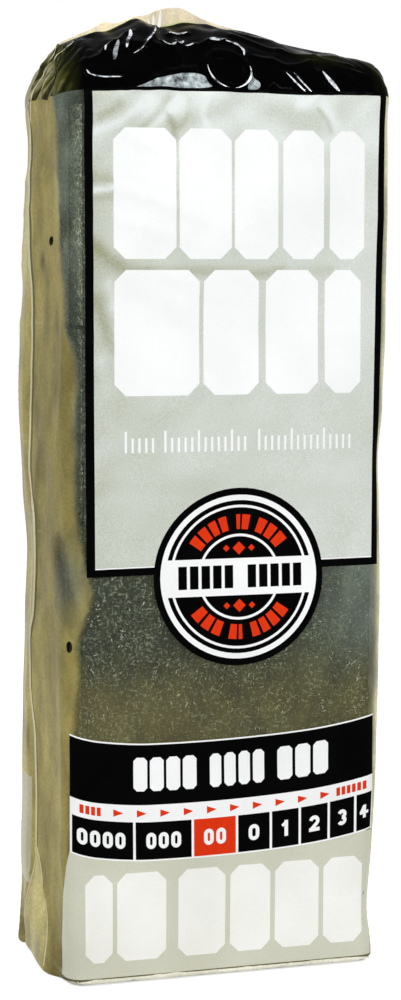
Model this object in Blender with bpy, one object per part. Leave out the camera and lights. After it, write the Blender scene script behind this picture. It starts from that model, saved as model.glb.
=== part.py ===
"""Retail pack of steel wool pads: a printed film bag with side gussets, heat sealed at the top,
holding sixteen folded pads in four tiers of four layers.

Metres, +Z up. The origin is the middle of the base, the printed front faces -Y.
"""
import math

import bmesh
import bpy

# Pads: each is one strip of wool folded over itself, lying across the bag.
PAD_LENGTH = 0.1060
PAD_HEIGHT = 0.0755
PAD_THICKNESS = 0.0170
PLIES = 3
PLY_SLIT = 0.0006
PAD_END_TAPER = 0.0060
PAD_END_SLIT = 0.0038
FOLD_STEPS = 4
TIERS = 4
LAYERS = 4
CLEARANCE = 0.0003

# Film: wall, corners and the room left beside the pads' ends. The bag leans to the right:
# its left wall is upright, and its right wall moves out with height.
FILM = 0.0001
LEFT_SLACK = 0.0046
RIGHT_SLACK = 0.0009
CORNER_RADIUS = 0.0060
BASE_RADIUS = 0.0028
RIGHT_FLARE = 0.0058
RIGHT_FLARE_HEIGHT = 0.0900
REAR_NARROWING = 0.0016
TIER_BULGE = 0.0009
HEADROOM = 0.0012

# Top: a gable that closes on a heat seal, higher left of the middle.
# Each pair is a share of the half width and the rise of the ridge above the shoulder.
RIDGE_RISES = (
    (-1.00, 0.0150),
    (-0.84, 0.0205),
    (-0.64, 0.0255),
    (-0.38, 0.0290),
    (-0.08, 0.0292),
    (0.34, 0.0248),
    (0.68, 0.0205),
    (1.00, 0.0180),
)
LEFT_END_INSET = 0.0080
RIGHT_END_INSET = 0.0060
SEAL_HALF_THICKNESS = 0.0003
SEAL_END_ROUND = 0.35
SEAL_END_BOW = 0.0004
ROOM_TOP_SHARE = 0.85
FIN_LEAST = 0.0010
FIN_HEIGHT = 0.0052
FIN_MIDDLE_SHARE = -0.16
FIN_SPREAD_LEFT = 0.0190
FIN_SPREAD_RIGHT = 0.0110
ROUND_CLIMB_SHARE = 0.75
RIGHT_PUFF = 0.0045
PUFF_START_SHARE = 0.3
LEFT_GATHER = 0.0012
RIGHT_GATHER = 0.0004

# Crumples of the gable: how deep they are, and two waves across it, in radians and radians per metre.
ROOF_DENT_DEPTH = 0.0016
SHORT_DENT_WAVE = 165.0
SHORT_DENT_START = 1.3
LONG_DENT_WAVE = 61.0
LONG_DENT_START = 0.9

# Side gussets: a vertical crease, and a folded triangle down to the base corners.
CREASE_Y = 0.0120
CREASE_PROUD = 0.0007
GUSSET_APEX_HEIGHT = 0.0400
GUSSET_FLARE = 0.0032
FLARE_STEEPNESS = 3.2
EAR_BACK = 0.0010
EAR_OUT = 0.0030
EAR_FADE = 0.0300
SEAL_LIP = 0.0011
LIP_TURN = 0.4

# Two vents punched in the left side.
VENT_RADIUS = 0.0015
VENT_UPPER_Y = -0.0158
VENT_UPPER_Z = 0.2565
VENT_LOWER_Z = 0.1187
VENT_LOWER_ANGLE = math.radians(225.0)
VENT_CUTTER_LENGTH = 0.0060
VENT_SIDES = 16

# How finely the film is divided, and how squarely a station faces sideways to lie on a side panel.
SIDE_FACING = 0.99
FRONT_STEPS = 16
CORNER_STEPS = 3
GUSSET_STEPS = 4
TIER_STEPS = 4
STEP_ABOVE_GUSSET = 1.2
ROOF_STEPS = 7
BASE_TURNS = (0.0, LIP_TURN, 0.75)

# Sizes that follow from the ones above.
PLY_PITCH = (PAD_THICKNESS + PLY_SLIT) / PLIES
TIER_PITCH = PAD_HEIGHT + CLEARANCE
LAYER_PITCH = PAD_THICKNESS + CLEARANCE
STACK_HEIGHT = TIERS * TIER_PITCH - CLEARANCE
STACK_DEPTH = LAYERS * LAYER_PITCH - CLEARANCE
STACK_BASE = FILM + CLEARANCE
LEFT_WALL = PAD_LENGTH / 2 + LEFT_SLACK + CLEARANCE + FILM
RIGHT_WALL_BASE = PAD_LENGTH / 2 + RIGHT_SLACK + CLEARANCE + FILM
HALF_DEPTH = STACK_DEPTH / 2 + CLEARANCE + FILM
SHOULDER_HEIGHT = STACK_BASE + STACK_HEIGHT + HEADROOM
CREASE_SHARE = CREASE_Y / (HALF_DEPTH - CORNER_RADIUS)


def smooth(share):
    """Smooth step from 0 to 1."""
    share = min(max(share, 0.0), 1.0)
    return share * share * (3.0 - 2.0 * share)


def ridge_rise(x):
    """Height of the sealed ridge above the shoulder at X."""
    share = x / LEFT_WALL
    for (left, low), (right, high) in zip(RIDGE_RISES, RIDGE_RISES[1:]):
        if share <= right:
            return low + (high - low) * smooth((share - left) / (right - left))
    return RIDGE_RISES[-1][1]


def fin_height(x):
    """Free height of the seal above the ridge: it stands up left of the middle only."""
    off = x - FIN_MIDDLE_SHARE * LEFT_WALL
    off /= FIN_SPREAD_RIGHT if off > 0 else FIN_SPREAD_LEFT
    return FIN_LEAST + (FIN_HEIGHT - FIN_LEAST) * math.exp(-off * off)


def stations():
    """Stations round the bag: core point of a unit rectangle, and the angle of the film's normal.

    They run counter-clockwise seen from above, from the left end of the front panel.
    """
    before = 1.0 + CREASE_SHARE
    behind = 1.0 - CREASE_SHARE
    gusset = [-1.0 + before * i / GUSSET_STEPS for i in range(GUSSET_STEPS)]
    gusset += [CREASE_SHARE + behind * i / GUSSET_STEPS for i in range(GUSSET_STEPS)]
    front = [-1.0 + 2.0 * i / FRONT_STEPS for i in range(FRONT_STEPS)]
    quarter = math.pi / 2

    ring = []
    ring += [(share, -1.0, -quarter) for share in front]
    ring += [(1.0, -1.0, -quarter + quarter * i / CORNER_STEPS) for i in range(CORNER_STEPS)]
    ring += [(1.0, share, 0.0) for share in gusset]
    ring += [(1.0, 1.0, quarter * i / CORNER_STEPS) for i in range(CORNER_STEPS)]
    ring += [(-share, 1.0, quarter) for share in front]
    ring += [(-1.0, 1.0, quarter + quarter * i / CORNER_STEPS) for i in range(CORNER_STEPS)]
    back_to_front = [1.0] + gusset[:0:-1]
    ring += [(-1.0, share, math.pi) for share in back_to_front]
    ring += [(-1.0, -1.0, math.pi + quarter * i / CORNER_STEPS) for i in range(CORNER_STEPS)]
    return ring


def side_wall(side, z):
    """Distance of a side wall from the origin at a height."""
    if side < 0:
        return LEFT_WALL
    return RIGHT_WALL_BASE + RIGHT_FLARE * (1.0 - math.exp(-max(z, 0.0) / RIGHT_FLARE_HEIGHT))


def past_crease(core_y):
    """Where a point of a side panel lies: -1 at its front edge, 0 on the crease, 1 at its back edge."""
    span = 1.0 - CREASE_SHARE if core_y > CREASE_SHARE else 1.0 + CREASE_SHARE
    return (core_y - CREASE_SHARE) / span


def gusset_push(core_y, z):
    """How far the side film stands out: a vertical crease above, a flared triangle below it."""
    reach = abs(past_crease(core_y))
    foot = max(1.0 - z / GUSSET_APEX_HEIGHT, 0.0)
    from_leg = abs(reach - foot)
    proud = CREASE_PROUD * max(1.0 - from_leg * GUSSET_STEPS, 0.0)
    if reach >= foot:
        return proud
    return proud + GUSSET_FLARE * foot * min(from_leg * FLARE_STEEPNESS, 1.0)


def tier_bulge(z):
    """The film stands out over the middle of each tier of pads."""
    share = (z - STACK_BASE) / TIER_PITCH
    return TIER_BULGE * abs(math.sin(math.pi * share))


def on_side(station):
    """Whether a station is on the flat of a side panel, its edges included."""
    return abs(station[0]) == 1.0 and abs(math.cos(station[2])) > SIDE_FACING


def body_point(station, z):
    """A point of the upright part of the film."""
    core_x, core_y, angle = station
    out_x = math.cos(angle)
    out_y = math.sin(angle)
    x = core_x * (side_wall(core_x, z) - CORNER_RADIUS) + CORNER_RADIUS * out_x
    y = core_y * (HALF_DEPTH - CORNER_RADIUS) + CORNER_RADIUS * out_y
    bulge = tier_bulge(z) * math.cos(0.5 * math.pi * core_x) * abs(out_y)
    y += math.copysign(bulge, out_y)
    if on_side(station):
        x += core_x * gusset_push(core_y, z)
    x -= core_x * REAR_NARROWING * max(past_crease(core_y), 0.0) * abs(out_x)
    if core_y == 1.0 and abs(core_x) == 1.0:
        ear = max(1.0 - z / EAR_FADE, 0.0) ** 2
        x += core_x * EAR_OUT * ear * abs(out_x)
        y += EAR_BACK * ear * max(out_y, 0.0)
    return x, y, z


def base_point(station, turn):
    """A point of the rounded edge round the base: turn 0 is the flat base, 1 the upright wall."""
    z = BASE_RADIUS * (1.0 - math.cos(turn * math.pi / 2))
    tuck = BASE_RADIUS * (1.0 - math.sin(turn * math.pi / 2))
    x, y, z = body_point(station, z)
    angle = station[2]
    return x - tuck * math.cos(angle), y - tuck * math.sin(angle), z


def swell(turn):
    """A rise and fall over the gable, nothing at the shoulder or the seal, most in the lower half."""
    return math.sin(math.pi * turn) * math.cos(math.pi * turn / 2)


def roof_point(station, turn):
    """A point of the gable: turn 0 is the shoulder, 1 the foot of the seal."""
    core_x, core_y, angle = station
    side = side_wall(core_x, SHOULDER_HEIGHT)
    closing = math.cos(turn * math.pi / 2)
    depth = SEAL_HALF_THICKNESS + (HALF_DEPTH - SEAL_HALF_THICKNESS) * closing
    width = side - (LEFT_END_INSET if core_x < 0 else RIGHT_END_INSET) * (1.0 - closing)
    radius = min(CORNER_RADIUS, depth * SEAL_END_ROUND)
    x = core_x * (width - radius) + radius * math.cos(angle)
    y = core_y * (depth - radius) + radius * math.sin(angle)
    climb = ROUND_CLIMB_SHARE * math.sin(turn * math.pi / 2) + (1.0 - ROUND_CLIMB_SHARE) * turn
    puff = RIGHT_PUFF * smooth((core_x - PUFF_START_SHARE) / (1.0 - PUFF_START_SHARE)) * swell(turn)
    if on_side(station):
        x += core_x * SEAL_END_BOW * (1.0 - core_y * core_y)
    return x, y, SHOULDER_HEIGHT + ridge_rise(x) * climb + puff


def gathers(index, side, turn):
    """Pleats of the side film where the gable pulls it together, deeper on the left."""
    depth = (LEFT_GATHER if side < 0 else RIGHT_GATHER) * swell(turn)
    return depth if index % 2 else -depth


def roof_dent(x, y, turn):
    """Broad crumples of the front and back slopes."""
    short = math.sin(x * SHORT_DENT_WAVE + SHORT_DENT_START)
    long = math.sin(x * LONG_DENT_WAVE + math.copysign(LONG_DENT_START, y))
    return ROOF_DENT_DEPTH * short * long * math.sin(math.pi * turn)


def roof_ring(ring, turn):
    points = []
    for index, station in enumerate(ring):
        x, y, z = roof_point(station, turn)
        core_x, core_y, angle = station
        behind = max(past_crease(core_y), 0.0) * abs(math.cos(angle))
        x -= core_x * REAR_NARROWING * behind * (1.0 - turn)
        if on_side(station):
            x += core_x * (gathers(index, core_x, turn) + gusset_push(core_y, z) * (1.0 - turn))
        elif abs(core_x) < 1.0:
            z += roof_dent(x, y, turn)
        points.append((x, y, z))
    return points


def fin_ring(ring):
    """The top edge of the standing seal."""
    return [(x, y, z + fin_height(x)) for x, y, z in roof_ring(ring, 1.0)]


def ring_between(low, high, share):
    """The ring part of the way between two others."""
    return [tuple(a + (b - a) * share for a, b in zip(p, q)) for p, q in zip(low, high)]


def lip(ring, points):
    """The base seal shows as a thin lip along the front."""
    moved = []
    for station, (x, y, z) in zip(ring, points):
        if station[1] == -1.0 and abs(station[0]) < 1.0:
            y -= SEAL_LIP
        moved.append((x, y, z))
    return moved


def film_rings():
    """Closed rings of the film's outer face, from the flat base to the top edge of the seal."""
    ring = stations()
    rings = []
    for turn in BASE_TURNS:
        points = [base_point(station, turn) for station in ring]
        rings.append(lip(ring, points) if turn == LIP_TURN else points)
    heights = [GUSSET_APEX_HEIGHT * i / GUSSET_STEPS for i in range(1, GUSSET_STEPS + 1)]
    steps = TIERS * TIER_STEPS
    for i in range(1, steps):
        z = STACK_BASE + STACK_HEIGHT * i / steps
        if z > GUSSET_APEX_HEIGHT * STEP_ABOVE_GUSSET:
            heights.append(z)
    for z in heights:
        rings.append([body_point(station, z) for station in ring])
    for i in range(ROOF_STEPS):
        rings.append(roof_ring(ring, i / ROOF_STEPS))
    seal = roof_ring(ring, 1.0)
    rings += [ring_between(rings[-1], seal, ROOM_TOP_SHARE), seal, fin_ring(ring)]
    return rings


def room_rings(bag, rings):
    """Rings of the room inside: the skin moved in by the film's thickness, up to below the seal."""
    count = len(rings[0])
    vertices = bag.data.vertices
    inner = []
    for index in range(len(rings) - 2):
        own = vertices[index * count:(index + 1) * count]
        inner.append([tuple(vertex.co - vertex.normal * FILM) for vertex in own])
    inner[0] = [(x, y, FILM) for x, y, z in inner[0]]
    return inner


def towards_crease(station, following):
    """Whether the step between two stations of a side panel runs towards its crease."""
    return abs(past_crease(following[1])) < abs(past_crease(station[1]))


def cap_strip(mesh, loop, middle):
    """Close a long ring across its narrow way, in pairs walked from its middle station."""
    count = len(loop)
    for step in range(count // 2):
        near = loop[(middle - step) % count]
        far = loop[(middle + step) % count]
        next_far = loop[(middle + step + 1) % count]
        next_near = loop[(middle - step - 1) % count]
        corners = list(dict.fromkeys([near, far, next_far, next_near]))
        mesh.faces.new(corners)


def loft(name, rings, rising=None, cap_middle=None):
    """A closed skin through rings of equal length, with a face on each end.

    Each quad is split along the diagonal that rises with the ring's order where rising says so.
    Where cap_middle is given, the top is closed by a strip, because that ring is bent and narrow.
    """
    mesh = bmesh.new()
    loops = [[mesh.verts.new(point) for point in ring] for ring in rings]
    count = len(loops[0])
    for low, high in zip(loops, loops[1:]):
        for i in range(count):
            j = (i + 1) % count
            if rising and rising[i]:
                mesh.faces.new((low[i], low[j], high[j]))
                mesh.faces.new((low[i], high[j], high[i]))
            else:
                mesh.faces.new((low[i], low[j], high[i]))
                mesh.faces.new((low[j], high[j], high[i]))
    mesh.faces.new(loops[0][::-1])
    if cap_middle is None:
        mesh.faces.new(loops[-1])
    else:
        cap_strip(mesh, loops[-1], cap_middle)
    data = bpy.data.meshes.new(name)
    mesh.to_mesh(data)
    mesh.free()
    return bpy.data.objects.new(name, data)


def ply_centreline():
    """Points and normals along the middle of the folded strip, in the YZ section."""
    turn_radius = PLY_PITCH / 2
    straight_end = PAD_HEIGHT / 2 - PLY_PITCH + PLY_SLIT / 2
    path = [((-(PLIES - 1) / 2 * PLY_PITCH, -straight_end), (-1.0, 0.0))]
    for fold in range(PLIES - 1):
        up = 1 if fold % 2 == 0 else -1
        middle = (fold + 0.5 - (PLIES - 1) / 2) * PLY_PITCH
        for i in range(FOLD_STEPS + 1):
            angle = math.pi - math.pi * i / FOLD_STEPS
            out_y = math.cos(angle)
            out_z = up * math.sin(angle)
            point = (middle + turn_radius * out_y, up * straight_end + turn_radius * out_z)
            path.append((point, (up * out_y, up * out_z)))
    end = straight_end if (PLIES - 1) % 2 == 0 else -straight_end
    path.append((((PLIES - 1) / 2 * PLY_PITCH, end), path[-1][1]))
    return path


def pad_outline(slit):
    """Outline of the folded strip for one width of the slits between its plies."""
    half_ply = (PLY_PITCH - slit) / 2
    path = ply_centreline()
    one_side = [(y + ny * half_ply, z + nz * half_ply) for (y, z), (ny, nz) in path]
    other_side = [(y - ny * half_ply, z - nz * half_ply) for (y, z), (ny, nz) in path]
    first_tip = (path[0][0][0], path[0][0][1] - half_ply)
    last_tip = (path[-1][0][0], path[-1][0][1] + half_ply)
    return one_side + [last_tip] + other_side[::-1] + [first_tip]


def add_pad(collection, name, place, material):
    """One pad: the folded section run across the bag, its plies thinner at both ends."""
    stops = (
        (-PAD_LENGTH / 2, PAD_END_SLIT),
        (-PAD_LENGTH / 2 + PAD_END_TAPER, PLY_SLIT),
        (PAD_LENGTH / 2 - PAD_END_TAPER, PLY_SLIT),
        (PAD_LENGTH / 2, PAD_END_SLIT),
    )
    rings = [[(stop_x, py, pz) for py, pz in pad_outline(slit)] for stop_x, slit in stops]
    pad = loft(name, rings)
    pad.location = place
    finish(collection, pad, material)
    return pad


def add_material(name, colour, roughness, metallic, alpha=1.0):
    material = bpy.data.materials.new(name)
    material.use_nodes = True
    shader = material.node_tree.nodes["Principled BSDF"]
    shader.inputs["Base Color"].default_value = (*colour, 1.0)
    shader.inputs["Roughness"].default_value = roughness
    shader.inputs["Metallic"].default_value = metallic
    shader.inputs["Alpha"].default_value = alpha
    return material


def finish(collection, item, material):
    """Link an object, give it outward faces, soft shading and its material."""
    collection.objects.link(item)
    mesh = bmesh.new()
    mesh.from_mesh(item.data)
    bmesh.ops.recalc_face_normals(mesh, faces=mesh.faces)
    mesh.to_mesh(item.data)
    mesh.free()
    item.data.shade_smooth()
    item.data.set_sharp_from_angle(angle=math.radians(50.0))
    if material:
        item.data.materials.append(material)


def add_cutter(collection, target, cutter):
    """Cut one solid out of another, and keep it as a hidden wire guide."""
    if cutter.name not in collection.objects:
        collection.objects.link(cutter)
    cutter.hide_render = True
    cutter.display_type = "WIRE"
    cut = target.modifiers.new(cutter.name, "BOOLEAN")
    cut.operation = "DIFFERENCE"
    cut.solver = "EXACT"
    cut.object = cutter


def vent_cutter(name, place, angle):
    """A short rod through the film at one place of the left side."""
    mesh = bmesh.new()
    bmesh.ops.create_cone(
        mesh,
        cap_ends=True,
        segments=VENT_SIDES,
        radius1=VENT_RADIUS,
        radius2=VENT_RADIUS,
        depth=VENT_CUTTER_LENGTH,
    )
    data = bpy.data.meshes.new(name)
    mesh.to_mesh(data)
    mesh.free()
    rod = bpy.data.objects.new(name, data)
    rod.location = place
    rod.rotation_euler = (0.0, math.pi / 2, angle)
    return rod


def add_film(parts, cutters, material):
    """The bag: its outer skin, less the room inside and the vents."""
    ring = stations()
    rising = [towards_crease(ring[i], ring[(i + 1) % len(ring)]) for i in range(len(ring))]
    left_crease = len(ring) - CORNER_STEPS - GUSSET_STEPS
    rings = film_rings()
    bag = loft("film_bag", rings, rising, left_crease)
    finish(parts, bag, material)
    room = loft("bag_room", room_rings(bag, rings), rising, left_crease)
    finish(cutters, room, None)
    add_cutter(cutters, bag, room)

    upper = (-side_wall(-1.0, VENT_UPPER_Z), VENT_UPPER_Y, VENT_UPPER_Z)
    add_cutter(cutters, bag, vent_cutter("vent_upper", upper, math.pi))
    corner_x = -side_wall(-1.0, VENT_LOWER_Z) + CORNER_RADIUS * (1.0 + math.cos(VENT_LOWER_ANGLE))
    corner_y = -HALF_DEPTH + CORNER_RADIUS * (1.0 + math.sin(VENT_LOWER_ANGLE))
    lower = (corner_x, corner_y, VENT_LOWER_Z)
    add_cutter(cutters, bag, vent_cutter("vent_lower", lower, VENT_LOWER_ANGLE))


def add_pads(parts, material):
    """Four tiers of four layers, resting on each other and on the film's base."""
    front = -STACK_DEPTH / 2 + PAD_THICKNESS / 2
    for tier in range(TIERS):
        foot = STACK_BASE + tier * TIER_PITCH
        middle = (side_wall(1, foot) - side_wall(-1, foot)) / 2
        for layer in range(LAYERS):
            name = f"pad_tier_{tier + 1}_layer_{layer + 1}"
            place = (middle, front + layer * LAYER_PITCH, foot + PAD_HEIGHT / 2)
            add_pad(parts, name, place, material)


def main():
    for item in list(bpy.data.objects):
        bpy.data.objects.remove(item, do_unlink=True)
    parts = bpy.data.collections.new("steel_wool_pad_pack")
    cutters = bpy.data.collections.new("cutters")
    bpy.context.scene.collection.children.link(parts)
    bpy.context.scene.collection.children.link(cutters)

    film = add_material("clear_film", (0.66, 0.64, 0.50), 0.22, 0.0, 0.45)
    wool = add_material("steel_wool", (0.12, 0.125, 0.10), 0.55, 0.6)
    add_film(parts, cutters, film)
    add_pads(parts, wool)


main()
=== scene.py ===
"""Looks of the steel wool pad pack: the printed film bag, the matted pads in it, and the studio.

Metres, +Z up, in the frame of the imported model: the printed front faces -Y, the base is at Z 0.
"""
import math

import bmesh
import bpy
import numpy as np
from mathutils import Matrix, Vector, kdtree, noise
from mathutils.geometry import delaunay_2d_cdt


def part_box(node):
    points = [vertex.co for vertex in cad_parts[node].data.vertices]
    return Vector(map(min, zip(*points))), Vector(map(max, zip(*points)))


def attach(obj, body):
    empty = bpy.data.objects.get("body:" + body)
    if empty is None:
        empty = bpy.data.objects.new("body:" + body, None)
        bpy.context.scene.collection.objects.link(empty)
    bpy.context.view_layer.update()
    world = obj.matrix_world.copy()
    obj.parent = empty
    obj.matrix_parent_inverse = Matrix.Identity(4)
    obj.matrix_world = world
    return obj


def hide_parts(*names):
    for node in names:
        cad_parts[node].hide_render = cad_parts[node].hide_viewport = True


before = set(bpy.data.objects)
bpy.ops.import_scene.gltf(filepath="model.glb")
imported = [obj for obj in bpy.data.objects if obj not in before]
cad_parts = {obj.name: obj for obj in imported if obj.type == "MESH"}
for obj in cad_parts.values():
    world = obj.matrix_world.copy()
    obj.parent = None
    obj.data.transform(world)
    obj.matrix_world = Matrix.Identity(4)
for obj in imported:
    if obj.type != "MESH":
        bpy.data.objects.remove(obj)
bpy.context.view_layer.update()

MM = 0.001
QUARTER = math.pi / 2

# The stack of pads, read from the frame.
TIERS = 4
LAYERS = 4
FIRST_LOW, FIRST_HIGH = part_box("pad_tier_1_layer_1")
LAST_LOW, LAST_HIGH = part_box(f"pad_tier_{TIERS}_layer_{LAYERS}")
TIER_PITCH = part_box("pad_tier_2_layer_1")[0].z - FIRST_LOW.z
STACK_BASE = FIRST_LOW.z
STACK_HEIGHT = LAST_HIGH.z - FIRST_LOW.z
PAD_LENGTH = FIRST_HIGH.x - FIRST_LOW.x
PAD_THICKNESS = FIRST_HIGH.y - FIRST_LOW.y
PAD_HEIGHT = FIRST_HIGH.z - FIRST_LOW.z

# The film's form, as the frame has it.
FILM_GAP = 0.4 * MM
LEFT_WALL = 58.0 * MM
RIGHT_WALL_BASE = 54.3 * MM
RIGHT_FLARE = 5.8 * MM
RIGHT_FLARE_HEIGHT = 90.0 * MM
HALF_DEPTH = LAST_HIGH.y + FILM_GAP
CORNER_RADIUS = 6.0 * MM
BASE_RADIUS = 2.8 * MM
REAR_NARROWING = 1.6 * MM
TIER_BULGE = 0.9 * MM
SHOULDER_HEIGHT = STACK_BASE + STACK_HEIGHT + 1.2 * MM
# Places across the pack and the rise of the ridge there.
RIDGE_RISES = (
    (-58.0 * MM, 17.0 * MM),
    (-47.0 * MM, 22.0 * MM),
    (-38.3 * MM, 25.0 * MM),
    (-33.9 * MM, 25.5 * MM),
    (-29.0 * MM, 27.8 * MM),
    (-23.2 * MM, 30.2 * MM),
    (-18.0 * MM, 28.0 * MM),
    (-12.6 * MM, 27.7 * MM),
    (-5.4 * MM, 29.3 * MM),
    (3.5 * MM, 28.3 * MM),
    (19.3 * MM, 25.7 * MM),
    (28.3 * MM, 22.9 * MM),
    (37.5 * MM, 20.7 * MM),
    (46.7 * MM, 19.2 * MM),
    (58.0 * MM, 17.4 * MM),
)
LEFT_END_INSET = 7.4 * MM
RIGHT_END_INSET = 4.6 * MM
SEAL_HALF_THICKNESS = 0.3 * MM
SEAL_END_ROUND = 0.35
# Places across the pack and the height of the clear seal above the ridge there.
FIN_RISES = (
    (-58.0 * MM, 0.3 * MM),
    (-41.0 * MM, 1.1 * MM),
    (-37.6 * MM, 1.8 * MM),
    (-34.4 * MM, 3.2 * MM),
    (-30.8 * MM, 1.3 * MM),
    (-24.0 * MM, 0.5 * MM),
    (-20.8 * MM, 1.8 * MM),
    (-16.0 * MM, 5.3 * MM),
    (-11.6 * MM, 6.2 * MM),
    (-6.6 * MM, 5.0 * MM),
    (0.0 * MM, 2.4 * MM),
    (8.0 * MM, 1.0 * MM),
    (19.3 * MM, 0.4 * MM),
    (37.5 * MM, 0.7 * MM),
    (46.7 * MM, 1.1 * MM),
    (58.0 * MM, 0.8 * MM),
)
# Heights up the pack and how far its sides stand out from the plain form there: behind the crease on
# the left, and over the whole right side.
LEFT_REAR_STANDS = (
    (0.0 * MM, 1.4 * MM),
    (20.0 * MM, 2.4 * MM),
    (34.0 * MM, 2.8 * MM),
    (60.0 * MM, 1.9 * MM),
    (90.0 * MM, 1.5 * MM),
    (120.0 * MM, 0.4 * MM),
    (145.0 * MM, -0.5 * MM),
    (170.0 * MM, 1.3 * MM),
    (203.0 * MM, 2.4 * MM),
    (222.0 * MM, 1.8 * MM),
    (242.0 * MM, 0.3 * MM),
    (270.0 * MM, -0.9 * MM),
    (292.0 * MM, -2.2 * MM),
)
RIGHT_STANDS = (
    (0.0 * MM, 1.2 * MM),
    (22.0 * MM, -1.5 * MM),
    (40.0 * MM, -1.1 * MM),
    (140.0 * MM, -1.3 * MM),
    (165.0 * MM, -1.7 * MM),
    (180.0 * MM, -2.3 * MM),
    (200.0 * MM, -0.8 * MM),
    (225.0 * MM, 0.0 * MM),
    (280.0 * MM, -0.4 * MM),
    (300.0 * MM, -1.0 * MM),
)
RIGHT_PUFF = 4.2 * MM

# The side gussets: crease heights and how far behind the middle the crease runs there.
CREASE_PATH = (
    (40.0 * MM, 8.6 * MM),
    (58.0 * MM, 8.0 * MM),
    (79.0 * MM, 9.4 * MM),
    (98.0 * MM, 15.4 * MM),
    (114.0 * MM, 15.0 * MM),
    (127.0 * MM, 9.9 * MM),
    (144.0 * MM, 8.7 * MM),
    (160.0 * MM, 9.0 * MM),
    (177.0 * MM, 16.0 * MM),
    (194.0 * MM, 13.6 * MM),
    (210.0 * MM, 12.0 * MM),
    (230.0 * MM, 10.4 * MM),
    (257.0 * MM, 11.5 * MM),
    (278.0 * MM, 10.8 * MM),
    (300.0 * MM, 8.7 * MM),
)
CREASE_PROUD = 0.8 * MM
CREASE_WIDTH = 1.3 * MM
GUSSET_APEX = 41.0 * MM
GUSSET_SPREAD = 0.9
GUSSET_FLARE = 5.2 * MM
REAR_FLARE_SHARE = 0.35
FLARE_STEEPNESS = 3.2
LEFT_PLEAT = 0.7 * MM
RIGHT_PLEAT = 0.5 * MM
EAR_OUT = 3.0 * MM
EAR_BACK = 1.0 * MM
EAR_FADE = 30.0 * MM

# Distances round the film from the middle of the front, and up it.
FRONT_LEFT = LEFT_WALL - CORNER_RADIUS
FRONT_RIGHT = 53.0 * MM
CORNER = CORNER_RADIUS * QUARTER
SIDE = 2.0 * (HALF_DEPTH - CORNER_RADIUS)
LEFT_ROUND = 2.0 * (FRONT_LEFT + CORNER) + SIDE
RIGHT_ROUND = 2.0 * (FRONT_RIGHT + CORNER) + SIDE
ROOF_WAY = 45.0 * MM
RIDGE = SHOULDER_HEIGHT + ROOF_WAY
FIN_WAY = 5.0 * MM
FILM_TOP = RIDGE + FIN_WAY
BASE_EDGE = BASE_RADIUS * (1.0 - QUARTER)
FOLD_WAY = 31.0 * MM
FILM_FOOT = BASE_EDGE - FOLD_WAY

# How finely the film is divided.
BODY_PITCH = 1.7 * MM
ROOF_PITCH = 0.85 * MM
BASE_PITCH = 3.0 * MM
OUTLINE_PITCH = 1.2 * MM


def smooth(share):
    """Smooth step from 0 to 1."""
    share = min(max(share, 0.0), 1.0)
    return share * share * (3.0 - 2.0 * share)


def between(value, low, high):
    """Smooth step of a value between two others."""
    return smooth((value - low) / (high - low))


def mix(a, b, share):
    return a + (b - a) * share


def along(path, value):
    """Smooth interpolation through pairs of a place and a size."""
    for (left, low), (right, high) in zip(path, path[1:]):
        if value <= right:
            return mix(low, high, between(value, left, right))
    return path[-1][1]


def curve(path, value):
    """Smooth curve through pairs of a place and a size, bent at the pairs instead of level there."""
    value = min(max(value, path[0][0]), path[-1][0])
    i = next(i for i in range(1, len(path)) if value <= path[i][0])
    (x0, y0), (x1, y1) = path[i - 1], path[i]
    before = path[max(i - 2, 0)]
    after = path[min(i + 1, len(path) - 1)]
    rise_0 = (y1 - before[1]) / (x1 - before[0]) * (x1 - x0)
    rise_1 = (after[1] - y0) / (after[0] - x0) * (x1 - x0)
    t = (value - x0) / (x1 - x0)
    bend = t * (1.0 - t) * ((1.0 - t) * (rise_0 - y1 + y0) - t * (rise_1 - y1 + y0))
    return mix(y0, y1, t) + bend


def side_wall(side, z):
    if side < 0:
        return LEFT_WALL
    flare = RIGHT_FLARE * (1.0 - math.exp(-max(z, 0.0) / RIGHT_FLARE_HEIGHT))
    return RIGHT_WALL_BASE + flare + along(RIGHT_STANDS, z)


def station(u):
    """Core point of a unit rectangle and the normal's angle, at a distance round the film."""
    side = 1.0 if u >= 0.0 else -1.0
    flat = FRONT_RIGHT if side > 0 else FRONT_LEFT
    rest = abs(u)
    if rest <= flat:
        return u / flat, -1.0, -QUARTER
    rest -= flat
    outward = 0.0 if side > 0 else math.pi
    if rest < CORNER:
        return side, -1.0, outward - side * (QUARTER - rest / CORNER_RADIUS)
    rest -= CORNER
    if rest < SIDE:
        return side, -1.0 + 2.0 * rest / SIDE, outward
    rest -= SIDE
    if rest < CORNER:
        return side, 1.0, outward + side * rest / CORNER_RADIUS
    rest -= CORNER
    return side * (1.0 - rest / flat), 1.0, QUARTER


def crease_share(z):
    return along(CREASE_PATH, z) / (HALF_DEPTH - CORNER_RADIUS)


def past_crease(core_y, z):
    """-1 at a side panel's front edge, 0 on the crease, 1 at its back edge."""
    crease = crease_share(z)
    span = 1.0 - crease if core_y > crease else 1.0 + crease
    return (core_y - crease) / span


def gusset_push(core_y, z):
    """How far the side film stands out: a crisp crease above, a flared triangle below it."""
    past = past_crease(core_y, z)
    reach = abs(past)
    foot = GUSSET_SPREAD * max(1.0 - z / GUSSET_APEX, 0.0)
    from_leg = abs(reach - foot)
    panel = 0.5 * SIDE
    proud = CREASE_PROUD * math.exp(-from_leg * panel / CREASE_WIDTH)
    if reach >= foot:
        return proud
    flare = GUSSET_FLARE * mix(1.0, REAR_FLARE_SHARE, between(past, -0.6, 0.5))
    return proud + flare * foot * smooth(from_leg * FLARE_STEEPNESS)


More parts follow.
